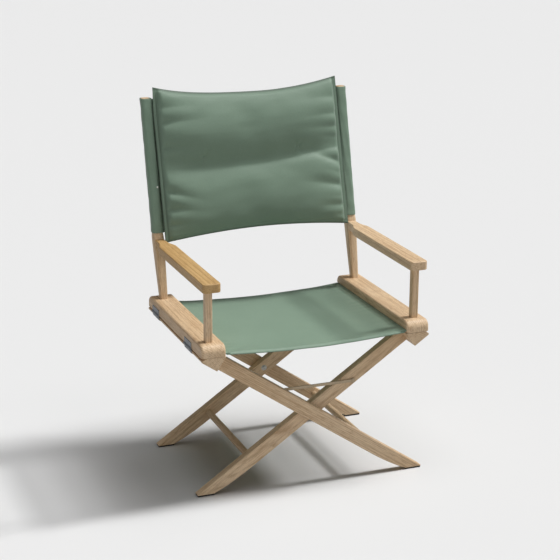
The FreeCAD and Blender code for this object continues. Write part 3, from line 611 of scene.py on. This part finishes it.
def sling_part(name, prof, body):
    """One part of the sling from its cross profile."""
    pos = np.zeros((len(prof), ny, 3))
    thk = np.zeros((len(prof), ny))
    for i, (x, z, kind) in enumerate(prof):
        y = SLING_Y0 + 0.0008 + (SLING_Y1 - SLING_Y0 - 0.0016) * vv
        # the free edges draw in a little between the rails
        pull = 0.0022 * max(0.0, 1 - (x / 0.2265) ** 2)
        y = y + pull * np.where(vv < 0.5, (1 - 2 * vv) ** 3, -((2 * vv - 1) ** 3))
        drop = sag_at(np.full(ny, x), y) if kind != 2 else np.zeros(ny)
        edge = np.minimum(y - y[0], y[-1] - y)
        hem = np.clip((0.0125 - edge) / 0.0012, 0, 1)
        t = 0.0011 + (0.0011 * hem if kind == 0 else 0)
        # stitch line: the double hem is pinched at 10 mm from the edge
        pinch = np.exp(-((edge - 0.0102) / 0.0007) ** 2) * (0.0005 if kind == 0 else 0)
        t = t - pinch
        roll = np.exp(-(edge / 0.0016) ** 2) * (0.0005 if kind == 0 else 0.0)
        lip = (0.0040 if kind == 0 else 0.0) * np.clip(1 - (y - y[0]) / 0.0062, 0, 1) ** 1.8 * min(1.0, max(0.0, (0.2262 - abs(x)) / 0.003))
        pos[i, :, 0] = x
        pos[i, :, 1] = y + YS
        pos[i, :, 2] = z - drop - (t - 0.0011) / 2 - pinch * 0.2 - roll * 0.5 - lip
        if kind == 1:
            pos[i, :, 2] -= 0.00005
        thk[i] = t + roll
    v_, f_ = sheet_mesh(pos, thk)
    ob = make(name, v_, f_, fab_seat, body)
    fix_normals(ob)
    return ob


# the middle of the sling rides with the left arm frame; the hems stay round their rods
seat = sling_part("seat_sling_cloth", [(x, 0.36685, 0) for x in np.linspace(-SPLIT, SPLIT, 132)], "left_arm_frame")
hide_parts("seat_sling")
side_l = sling_side()
sling_part("seat_sling_hem_left", side_l, "left_arm_frame")
sling_part("seat_sling_hem_right", [(-x, z, k) for x, z, k in reversed(side_l)], "right_arm_frame")

paths = []
for yo in (SLING_Y0 + 0.0110, SLING_Y1 - 0.0110):
    xs = np.linspace(-0.224, 0.224, 160)
    ys_ = np.full(160, yo) + 0.0022 * np.maximum(0, 1 - (xs / 0.2265) ** 2) * (1 if yo < 0 else -1)
    zs = 0.36685 - sag_at(xs, ys_) + 0.00050
    paths.append((np.stack([xs, ys_ + YS, zs], 1), np.tile([0, 0, 1.0], (160, 1))))
seat_st = stitches("seat_stitching", paths, thread, "left_arm_frame")
for sx, body in ((-1, "left_arm_frame"), (1, "right_arm_frame")):
    ys_ = np.linspace(SLING_Y0 + 0.004, SLING_Y1 - 0.004, 160)
    xs = np.full(160, sx * 0.2180)
    zs = 0.36685 - sag_at(xs, ys_) + 0.00050
    stitches("seat_hem_stitching_" + ("left" if sx < 0 else "right"), [(np.stack([xs, ys_ + YS, zs], 1), np.tile([0, 0, 1.0], (160, 1)))],
             thread, body)

# ---------------------------------------------------------------- back sleeves
B0, B1 = 0.548, 0.8684


def sleeve(side, body, name, seed):
    na, nz = 56, 90
    zs = B0 + 0.0008 + (B1 - B0 - 0.0016) * np.linspace(0, 1, nz)
    P = np.zeros((na, nz, 3))
    T = np.zeros((na, nz))
    for j, z in enumerate(zs):
        s = (z - B0) / (B1 - B0)
        cx = side * post_cx(z)
        wx = np.interp(z, [0.548, 0.600, 0.730, 0.869], [0.0242, 0.0230, 0.0214, 0.0203])
        wy = np.interp(z, [0.548, 0.600, 0.730, 0.869], [0.0226, 0.0216, 0.0204, 0.0195])
        hx, hy = wx / 2 + 0.0011, wy / 2 + 0.0011
        for i in range(na):
            a = 2 * math.pi * i / na
            c, sn = math.cos(a), math.sin(a)
            e = 2.0 / 3.4
            x = hx * math.copysign(abs(c) ** e, c)
            y = hy * math.copysign(abs(sn) ** e, sn)
            # slack: long soft folds running round the post, stronger near the hems
            w = 0.00035 * (1 + math.sin(9.0 * a + 17 * s + seed)) * math.sin(math.pi * s)
            w += 0.00030 * (1 + math.sin(2 * math.pi * s * 7.3 + 2.1 * a + seed * 2)) * (0.4 + 0.6 * abs(2 * s - 1))
            k = 1 + w / hx
            # the cloth runs straight from the post's front towards the back panel
            inner = max(0.0, -side * x / hx) ** 1.5 * (0.5 - 0.5 * y / hy)
            P[i, j] = (cx + x * k - side * 0.0038 * inner, post_y(z) + y * k, z)
        hem = math.exp(-(min(z - zs[0], zs[-1] - z) / 0.009) ** 6)
        ridge = math.exp(-((min(z - zs[0], zs[-1] - z) - 0.0085) / 0.0009) ** 2)
        T[:, j] = 0.0012 + 0.0006 * hem - 0.0004 * ridge
    v, f = sheet_mesh(P, T, wrap_u=True)
    ob = make(name, v, f, fab_sleeve, body)
    fix_normals(ob)
    return ob


sl_l = sleeve(-1, "left_arm_frame", "back_sleeve_left_cloth", 0.4)
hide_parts("back_sleeve_left")
sl_r = sleeve(1, "right_arm_frame", "back_sleeve_right_cloth", 2.9)
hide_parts("back_sleeve_right")

# ---------------------------------------------------------------- back panel
nx, nz = 110, 80
W = np.linspace(0, 1, nz)[None, :] * np.ones((nx, 1))
xe = 0.2450 + 0.0040 * W
X = np.linspace(-1, 1, nx)[:, None] * xe
zb = 0.5504 + 0.0000 * X
zt = 0.8660 - 0.010 * np.clip(1 - (X / xe) ** 2, 0, 1)
Zp = (zb + 0.006 * np.clip(1 - (X / xe) ** 2, 0, 1)) * (1 - W) + zt * W
bow = 0.0030 * np.clip(1 - (X / xe) ** 2, 0, 1)
rip = 0.0006 * smooth_noise(X / 0.10, Zp / 0.16, 21) * np.clip((xe - np.abs(X)) / 0.03, 0, 1)
rip = rip + 0.0007 * np.exp(-(xe - np.abs(X)) / 0.018) * np.sin(2 * np.pi * Zp / 0.026 + 2.0 * np.sin(Zp * 61)) * np.clip((xe - np.abs(X)) / 0.003, 0, 1)
Yp = POST_Y0 + (Zp - 0.388) * LEAN + YS + 0.0046 - 0.0112 * np.exp(-((xe - np.abs(X)) / 0.022) ** 1.5) + bow + rip
hemd = np.minimum(W, 1 - W) * 0.3156
Tp = 0.0012 + 0.0010 * np.clip((0.0125 - hemd) / 0.0012, 0, 1)
v, f = sheet_mesh(np.stack([X, Yp, Zp], 2), Tp)
panel = make("back_panel_cloth", v, f, fab_back_shaded)
fix_normals(panel)
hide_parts("back_panel")

# ---------------------------------------------------------------- back cushion
HW = 0.2425


def seam_off(z):
    """Seam plane in front of the posts' centre plane: the lower edge stands off further."""
    return -0.0120 - 0.0130 * np.clip((0.897 - z) / 0.362, 0, 1)


def top_edge(x):
    return 0.8962 - 0.0020 * np.clip(-x / HW, 0, 1) ** 3 - (0.0250 + 0.0012 * np.clip(x / 0.12, -1, 1)) * np.clip(1 - np.abs(x / HW) ** (2.5 - 0.4 * np.clip(x / 0.1, -1, 1)), 0, 1)


def bot_edge(x):
    return 0.5300 + 0.0155 * np.clip(1 - np.abs(x / HW) ** 1.9, 0, 1) + 0.0026 * (x / HW)


def side_edge(w):
    """Half width at relative height w."""
    return HW - 0.0006 * np.sin(np.pi * w)


def puff(d, r):
    q = np.clip(d / r, 0, 1)
    return np.sqrt(np.clip(1 - (1 - q) ** 2, 0, 1))


WRINKLES = [
    # side, height, depth mm, length, half width, slope
    (-1, 0.842, 3.4, 0.070, 0.0120, -0.06), (-1, 0.806, 5.4, 0.085, 0.0125, -0.06), (-1, 0.773, 1.0, 0.050, 0.0080, -0.05),
    (-1, 0.750, 5.0, 0.075, 0.0130, 0.02), (-1, 0.722, 1.4, 0.042, 0.0080, 0.10), (-1, 0.650, 5.4, 0.066, 0.0115, 0.30),
    (-1, 0.625, 1.2, 0.040, 0.0070, 0.30), (-1, 0.604, 5.4, 0.066, 0.0115, 0.10), (-1, 0.567, 4.4, 0.056, 0.0105, 0.02),
    (1, 0.846, 2.4, 0.070, 0.0115, 0.02), (1, 0.806, 3.8, 0.080, 0.0115, 0.06), (1, 0.773, 4.2, 0.072, 0.0105, 0.00),
    (1, 0.745, 1.6, 0.046, 0.0080, -0.10), (1, 0.681, 5.0, 0.072, 0.0110, -0.36), (1, 0.655, 1.6, 0.045, 0.0080, -0.24),
    (1, 0.626, 4.8, 0.082, 0.0115, -0.16), (1, 0.600, 1.4, 0.045, 0.0070, -0.08), (1, 0.579, 4.2, 0.064, 0.0105, -0.04),
    (1, 0.555, 1.6, 0.040, 0.0070, 0.0), (-1, 0.548, 1.4, 0.036, 0.0070, -0.04),
]
TUFTS = [(-0.129, 0.7225), (0.119, 0.7305)]


def crease_z(x):
    return np.interp(x, [-0.245, -0.18, -0.12, -0.05, 0.0, 0.06, 0.11, 0.16, 0.20, 0.245],
                     [0.702, 0.699, 0.6975, 0.6975, 0.699, 0.703, 0.7085, 0.7155, 0.7215, 0.727])


def front_height(x, z, folds=True):
    """Forward bulge of the front sheet from the seam plane, metres. x, z may be arrays."""
    w = (z - bot_edge(x)) / (top_edge(x) - bot_edge(x))
    dx = side_edge(w) - np.abs(x) - 0.0085
    dt = top_edge(x) - z - 0.002
    db = z - bot_edge(x) - 0.002
    cz = crease_z(x)
    up = z - cz
    # two rolls: the upper one sags over the crease, the lower one is flatter
    hi_max, lo_max = 0.0262, 0.0175
    rise = 1 - np.exp(-(np.clip(up, 0, None) / 0.0385) ** 1.55)
    upper = hi_max * np.minimum(1.0, 1.05 * rise) * puff(dt, 0.100)
    tl = np.clip(-up, 0, None)
    fall = 1 - np.exp(-(tl / np.interp(x, [-0.24, -0.10, 0.06, 0.16], [0.0230, 0.0200, 0.0150, 0.0110])) ** 1.25)
    lower = lo_max * fall * puff(db, 0.070)
    floor_h = 0.0050 * puff(dt, 0.05) * puff(db, 0.05)
    h = np.where(up > 0, np.maximum(upper, 0), lower)
    h = np.sqrt(h ** 2 + floor_h ** 2)
    # fullness grows slowly from the side seams; a small roll stands right beside each seam
    h = h * (0.36 + 0.64 * puff(dx, 0.115) ** 1.1) * puff(dx, 0.010) + 0.0035 * puff(dx, 0.012) * puff(dt, 0.02) * puff(db, 0.02)
    for tx, tz in TUFTS:
        r = np.sqrt((x - tx) ** 2 + (z - tz) ** 2)
        an = np.arctan2(z - tz, x - tx)
        h = h - 0.0030 * np.exp(-(r / 0.0065) ** 1.3) - 0.0006 * np.exp(-(r / 0.022) ** 2) * np.cos(an * 4 + tx * 30) * np.clip(r / 0.008, 0, 1)
    side_in = np.clip(dx / 0.006, 0, 1)
    for sd, zc, dep, ln, hw, sl in (WRINKLES if folds else []):
        u = HW - sd * x
        zz = z - (zc - sl * u)
        wd = hw * (1 + 0.5 * u / ln)
        g_ = np.exp(-np.abs(zz / wd) ** np.where(zz > 0, 1.7, 1.4)) * np.exp(-(u / (1.15 * ln)) ** 2.2) * side_in
        g_ = g_ - 0.22 * np.exp(-(zz / (2.4 * wd)) ** 2) * np.exp(-(u / (1.2 * ln)) ** 2.2) * side_in
        h = h - 0.00185 * dep * g_
    # loose, slow unevenness of the filling
    h = h + 0.0012 * smooth_noise(x / 0.22, z / 0.10, 33) * puff(dx, 0.05) * puff(dt, 0.05) * puff(db, 0.05)
    # flat flange outside the side seams; the seams themselves are pinched
    h = np.where(dx > 0, np.maximum(h, 0.0010), 0.0011)
    h = h - 0.0009 * np.exp(-(dx / 0.0012) ** 2)
    for d_ in (dt - 0.0035, db - 0.0045):
        h = h - 0.0022 * np.exp(-(d_ / 0.0016) ** 2) * np.clip(h / 0.004, 0, 1)
    return h


def spread_left(p):
    """The left edge stands out a little further below the top corner."""
    w_ = np.clip((0.897 - p[..., 2]) / 0.07, 0, 1)
    q = np.array(p, float)
    q[..., 0] = np.where(p[..., 0] < 0, p[..., 0] * (1 + 0.0170 * w_ * w_ * (3 - 2 * w_)), p[..., 0])
    return q


def back_height(x, z):
    w = (z - bot_edge(x)) / (top_edge(x) - bot_edge(x))
    dx = side_edge(w) - np.abs(x) - 0.0085
    dt = top_edge(x) - z - 0.002
    db = z - bot_edge(x) - 0.002
    dome = puff(dx, 0.06) * puff(dt, 0.05) * puff(db, 0.05)
    h = 0.0092 * dome + 0.0005 * smooth_noise(x / 0.12, z / 0.12, 44) * dome
    h = np.where(dx > 0, np.maximum(h, 0.0010), 0.0011)
    return h - 0.0006 * np.exp(-(dx / 0.0011) ** 2)


def spread(n, edge, k):
    """Parameters -1..1, closer together near both ends."""
    q = np.linspace(-1, 1, n)
    return np.sign(q) * (1 - (1 - np.abs(q)) ** k) if k != 1 else q


nx, nz = 190, 150
U = spread(nx, 0, 1.18)
Wn = (spread(nz, 0, 1.15) + 1) / 2
front = np.zeros((nx, nz, 3))
rear = np.zeros((nx, nz, 3))
plain = np.zeros((nx, nz, 3))
for j in range(nz):
    w = Wn[j]
    x = U * side_edge(w)
    z = bot_edge(x) + (top_edge(x) - bot_edge(x)) * w
    hf, hb = front_height(x, z), back_height(x, z)
    base_y = POST_Y0 + (z - 0.388) * LEAN + YS + seam_off(z)
    cn, sn = 1 / math.sqrt(1 + LEAN ** 2), LEAN / math.sqrt(1 + LEAN ** 2)
    front[:, j] = np.stack([x, base_y - hf * cn, z + hf * sn], 1)
    h0 = front_height(x, z, False)
    plain[:, j] = np.stack([x, base_y - h0 * cn, z + h0 * sn], 1)
    rear[:, j] = np.stack([x, base_y + hb * cn, z - hb * sn], 1)


def pillow(name, front, rear):
    nx, nz = front.shape[:2]
    verts = list(front.reshape(-1, 3))
    iF = np.arange(nx * nz).reshape(nx, nz)
    iR = np.zeros((nx, nz), int)
    for i in range(nx):
        for j in range(nz):
            verts.append(rear[i, j])
            iR[i, j] = len(verts) - 1
    faces = []
    for i in range(nx - 1):
        for j in range(nz - 1):
            faces.append((iF[i, j], iF[i + 1, j], iF[i + 1, j + 1], iF[i, j + 1]))
            faces.append((iR[i, j], iR[i, j + 1], iR[i + 1, j + 1], iR[i + 1, j]))
    loop = [(i, 0) for i in range(nx)] + [(nx - 1, j) for j in range(1, nz)] + \
           [(i, nz - 1) for i in range(nx - 2, -1, -1)] + [(0, j) for j in range(nz - 2, 0, -1)]
    cen = np.array([0, 0, 0.716])
    mids = []
    for i, j in loop:
        m = (front[i, j] + rear[i, j]) / 2
        d = m - np.array([0, m[1], 0.716])
        # outward in the sheet's plane
        o = np.zeros(3)
        if i == 0: o[0] -= 1
        if i == nx - 1: o[0] += 1
        if j == 0: o[2] -= 1
        if j == nz - 1: o[2] += 1
        o /= np.linalg.norm(o)
        verts.append(m + o * 0.0009)
        mids.append(len(verts) - 1)
    L = len(loop)
    for k in range(L):
        a, b = loop[k], loop[(k + 1) % L]
        ma, mb = mids[k], mids[(k + 1) % L]
        faces.append((iF[a], ma, mb, iF[b]))
        faces.append((ma, iR[a], iR[b], mb))
    return verts, faces




def regrid(a, n, m):
    """Resample an (i, j, 3) grid to (n, m, 3), linear in index space."""
    i = np.linspace(0, a.shape[0] - 1, n)
    j = np.linspace(0, a.shape[1] - 1, m)
    i0 = np.minimum(i.astype(int), a.shape[0] - 2)
    j0 = np.minimum(j.astype(int), a.shape[1] - 2)
    fi, fj = (i - i0)[:, None, None], (j - j0)[None, :, None]
    g00, g10 = a[i0][:, j0], a[i0 + 1][:, j0]
    g01, g11 = a[i0][:, j0 + 1], a[i0 + 1][:, j0 + 1]
    return (g00 * (1 - fi) + g10 * fi) * (1 - fj) + (g01 * (1 - fi) + g11 * fi) * fj


def settle(front, rear, frames=14, n=104, m=84, pressure=1.2, excess=0.005, cap=0.0040):
    """Let the cover settle as cloth under its filling: seams, crease and tufts are held, and the
    cover has a little more cloth than the seams have length, so it puckers along them."""
    lf, lr = regrid(front, n, m), regrid(rear, n, m)
    verts, faces = pillow("sim", lf, lr)
    me = bpy.data.meshes.new("settle")
    me.from_pydata([tuple(v) for v in verts], [], faces)
    me.update()
    ob = bpy.data.objects.new("settle", me)
    bpy.context.scene.collection.objects.link(ob)
    fix_normals(ob)
    vg = ob.vertex_groups.new(name="pin")
    x, z = lf[..., 0], lf[..., 2]
    w = (z - bot_edge(x)) / (top_edge(x) - bot_edge(x))
    edge = np.minimum.reduce([side_edge(w) - 0.0085 - np.abs(x), top_edge(x) - z - 0.003, z - bot_edge(x) - 0.003])
    hold = np.clip(1 - edge / 0.004, 0, 1)
    hold = np.maximum(hold, 0.96 * np.exp(-((z - crease_z(x)) / 0.0045) ** 2))
    hold = np.maximum(hold, 0.5 * np.exp(-((z - crease_z(x) - 0.018) / 0.022) ** 2))
    for tx, tz in TUFTS:
        hold = np.maximum(hold, np.exp(-((x - tx) ** 2 + (z - tz) ** 2) / 0.0045 ** 2))
    hold = np.maximum(hold, 0.06)
    k = n * m
    for idx, wt in enumerate(hold.ravel()):
        vg.add([idx], float(min(1.0, wt)), "REPLACE")
    rest_hold = np.clip(1 - edge / 0.004, 0, 1).ravel()
    for idx in range(k):
        vg.add([k + idx], float(max(0.5, rest_hold[idx])), "REPLACE")
    vg.add(list(range(2 * k, len(verts))), 1.0, "REPLACE")
    md = ob.modifiers.new("cloth", "CLOTH")
    st = md.settings
    st.quality = 5
    st.mass = 0.12
    st.tension_stiffness = st.compression_stiffness = 22.0
    st.shear_stiffness = 8.0
    st.bending_stiffness = 0.35
    st.air_damping = 2.0
    st.use_pressure = True
    st.uniform_pressure_force = pressure
    st.shrink_min = -excess
    st.vertex_group_mass = "pin"
    st.pin_stiffness = 1.0
    st.effector_weights.gravity = 0.0
    md.collision_settings.use_collision = False
    md.point_cache.frame_start = 1
    md.point_cache.frame_end = frames
    sc = bpy.context.scene
    was = sc.frame_current
    for f_ in range(1, frames + 1):
        sc.frame_set(f_)
    ev = ob.evaluated_get(bpy.context.evaluated_depsgraph_get())
    em = ev.to_mesh()
    co = np.zeros(len(em.vertices) * 3)
    em.vertices.foreach_get("co", co)
    ev.to_mesh_clear()
    co = co.reshape(-1, 3)
    sc.frame_set(was)
    bpy.data.objects.remove(ob)
    bpy.data.meshes.remove(me)
    df = (co[:k].reshape(n, m, 3) - lf)
    dr = (co[k:2 * k].reshape(n, m, 3) - lr)
    out_ = []
    for d in (df, dr):
        ln = np.linalg.norm(d, axis=2, keepdims=True)
        d = d * (cap * np.tanh(ln / cap) / np.maximum(ln, 1e-9))
        d = regrid(d, front.shape[0], front.shape[1])
        # smoothing along the width takes out the grid of the coarse cloth and its upright creases
        for _ in range(60):
            d[1:-1] = 0.5 * d[1:-1] + 0.25 * (d[:-2] + d[2:])
        for _ in range(2):
            d[1:-1, 1:-1] = 0.5 * d[1:-1, 1:-1] + 0.125 * (d[:-2, 1:-1] + d[2:, 1:-1] + d[1:-1, :-2] + d[1:-1, 2:])
        out_.append(d)
    print("settle: front moved up to %.1f mm, mean %.2f mm" % (np.linalg.norm(out_[0], axis=2).max() * 1e3, np.linalg.norm(out_[0], axis=2).mean() * 1e3))
    return front + out_[0], rear + out_[1]


# the filled cover settles as a whole; the deep side folds are laid over the settled shape
settled, rear = settle(plain, rear)
front = front + (settled - plain)
front, rear = spread_left(front), spread_left(rear)
v, f = pillow("c", front, rear)
cushion = make("back_cushion_cloth", v, f, fab_back_shaded)
fix_normals(cushion)
# painted shade along the stitched seams and in the turned edges, broader along the bottom edge
V_ = np.array(v)
xs_, zs_ = V_[:, 0] / np.where(V_[:, 0] < 0, 1.017, 1.0), V_[:, 2]
dx_ = HW - np.abs(xs_)
dt_, db_ = top_edge(xs_) - zs_, zs_ - bot_edge(xs_)
shade = 0.85 * np.exp(-((dx_ - 0.0085) / 0.0013) ** 2) + 0.9 * np.exp(-(np.clip(dx_, 0, 1) / 0.0014) ** 2)
shade = np.maximum(shade, 0.75 * np.exp(-(np.clip(dt_ - 0.0015, 0, 1) / 0.0016) ** 2))
shade = np.maximum(shade, 0.80 * np.exp(-(np.clip(db_ - 0.0010, 0, 1) / 0.0030) ** 2))
sa = cushion.data.attributes.new("seam_painted_shade", "FLOAT", "POINT")
sa.data.foreach_set("value", np.clip(shade, 0, 1).astype(np.float32))
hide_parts("back_cushion")

# seams of the cushion: stitched line along both sides
paths = []
nlean = np.array([0, -1 / math.sqrt(1 + LEAN ** 2), LEAN / math.sqrt(1 + LEAN ** 2)])


def on_front(x, z, lift=0.0):
    h = front_height(np.asarray(x), np.asarray(z)) + lift
    y = POST_Y0 + (z - 0.388) * LEAN + YS + seam_off(z)
    return spread_left(np.stack([x, y + nlean[1] * h, z + nlean[2] * h], -1))


for sd in (-1, 1):
    w = np.linspace(0.02, 0.98, 160)
    x = sd * (side_edge(w) - 0.0085)
    z = bot_edge(x) + (top_edge(x) - bot_edge(x)) * w
    paths.append((on_front(x, z, 0.0002), np.tile(nlean, (160, 1))))
cush_st = stitches("cushion_stitching", paths, thread, "left_arm_frame")


# tuft buttons: small covered discs drawn into the front
def button(name, tx, tz):
    verts, faces = [], []
    c = on_front(np.array([tx]), np.array([tz]), 0.0006)[0]
    n = nlean
    sx_ = np.array([1.0, 0, 0])
    sy_ = np.cross(n, sx_)
    rings = [(0.0, 0.0012), (0.0012, 0.0011), (0.0022, 0.0007), (0.0028, 0.0001), (0.0028, -0.0008), (0.0020, -0.0012)]
    seg = 24
    for r, h in rings:
        for k in range(seg if r else 1):
            a = 2 * math.pi * k / seg
            verts.append(c + n * h + sx_ * r * math.cos(a) + sy_ * r * math.sin(a))
    for k in range(seg):
        faces.append((0, 1 + k, 1 + (k + 1) % seg))
    for q in range(1, len(rings) - 1):
        o0, o1 = 1 + (q - 1) * seg, 1 + q * seg
        for k in range(seg):
            faces.append((o0 + k, o1 + k, o1 + (k + 1) % seg, o0 + (k + 1) % seg))
    last = 1 + (len(rings) - 2) * seg
    faces.append(tuple(last + k for k in range(seg)))
    ob = make(name, verts, faces, fab_back_shaded)
    fix_normals(ob)
    return ob


buttons = [button("cushion_tuft_left", *TUFTS[0]), button("cushion_tuft_right", *TUFTS[1])]

# ---------------------------------------------------------------- own mesh data for the soft pieces
for o in (seat, seat_st):
    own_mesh(o)
for o in (panel, cushion, cush_st, *buttons):
    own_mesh(o)

# ---------------------------------------------------------------- stage
fl = bpy.data.meshes.new("floor")
fl.from_pydata([(-40, -40, 0), (40, -40, 0), (40, 60, 0), (-40, 60, 0)], [], [(0, 1, 2, 3)])
floor = bpy.data.objects.new("floor", fl)
bpy.context.scene.collection.objects.link(floor)
g = G("floor_pale")
pn = g.coords()
fine = g.noise(pn, 900.0, 2.0)
seen = S(g, g.node("ShaderNodeLightPath").outputs["Is Camera Ray"])
pale = g.mix(fine * 0.10, srgb(236, 236, 236), srgb(231, 231, 231))
# a big studio floor throws less light back under the chair than its own paleness would
g.finish(g.mix(seen, srgb(196, 196, 196), pale), fine * 0.1 + 0.85, None, Specular_IOR_Level=0.1)
fl.materials.append(g.m)
# the floor keeps under the lowest foot when the legs turn
toe = bpy.data.objects.new("toe_point", None)
bpy.context.scene.collection.objects.link(toe)
toe.location = (0.2838, -0.2265, 0.0)
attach(toe, "leg_frame_a")
con = floor.constraints.new("COPY_LOCATION")
con.target = toe
con.use_x = con.use_y = False

world = bpy.data.worlds.new("studio")
bpy.context.scene.world = world
world.use_nodes = True
wt = world.node_tree
bg = wt.nodes["Background"] if "Background" in wt.nodes else wt.nodes.new("ShaderNodeBackground")
bg.inputs[0].default_value = (1.0, 1.0, 1.0, 1)
# the room gives little light, but the camera sees a pale wall behind the floor
lp = wt.nodes.new("ShaderNodeLightPath")
mr = wt.nodes.new("ShaderNodeMapRange")
mr.inputs["To Min"].default_value, mr.inputs["To Max"].default_value = 0.045, 0.83
wt.links.new(lp.outputs["Is Camera Ray"], mr.inputs["Value"])
wt.links.new(mr.outputs["Result"], bg.inputs[1])


def sun(name, az, el, share, angle, color=(1, 1, 1)):
    """A distant soft light from azimuth az (0 = +X, 90 = +Y), elevation el; share of the floor's light."""
    d = bpy.data.lights.new(name, "SUN")
    d.energy = share * math.pi / math.sin(math.radians(el))
    d.angle = math.radians(angle)
    d.color = color
    o = bpy.data.objects.new(name, d)
    e, a_ = math.radians(el), math.radians(az)
    way = Vector((-math.cos(e) * math.cos(a_), -math.cos(e) * math.sin(a_), -math.sin(e)))
    o.rotation_euler = way.to_track_quat("-Z", "Y").to_euler()
    bpy.context.scene.collection.objects.link(o)
    return o


# one tall softbox on the right, broken into a bright lower part and dimmer upper parts
sun("key", -1, 44, 0.30, 7)
sun("key_mid", 0, 53, 0.12, 9)
sun("key_high", 0, 64, 0.22, 14)
sun("key_top", 0, 75, 0.13, 18)
sun("overhead", 180, 84, 0.12, 26)
sun("side_rear", 35, 64, 0.035, 24)
sun("side_front", -38, 62, 0.04, 24)
# low reflector cards in front and on the left: they only fill the chair, the floor doesn't see them
cards = bpy.data.collections.new("not_filled")
cards.objects.link(floor)
cards.collection_objects[0].light_linking.link_state = "EXCLUDE"
for o in (sun("front_fill", -72, 24, 0.052, 50), sun("left_fill", -160, 24, 0.035, 50)):
    o.light_linking.receiver_collection = cards

cam_d = bpy.data.cameras.new("camera")
cam_d.lens = 98.0
cam_d.sensor_width = 36.0
cam = bpy.data.objects.new("camera", cam_d)
bpy.context.scene.collection.objects.link(cam)
yaw, pitch, roll = -0.372, -0.297, 0.005
fwd = Vector((-math.sin(yaw) * math.cos(pitch), math.cos(yaw) * math.cos(pitch), math.sin(pitch)))
right = Vector((math.cos(yaw), math.sin(yaw), 0))
up = right.cross(fwd)
r2 = right * math.cos(roll) + up * math.sin(roll)
u2 = up * math.cos(roll) - right * math.sin(roll)
cam.matrix_world = Matrix(((r2.x, u2.x, -fwd.x, -1.2975), (r2.y, u2.y, -fwd.y, -3.2883 + YS),
                           (r2.z, u2.z, -fwd.z, 1.5381), (0, 0, 0, 1)))
bpy.context.scene.camera = cam
bpy.context.scene.view_settings.view_transform = "Standard"
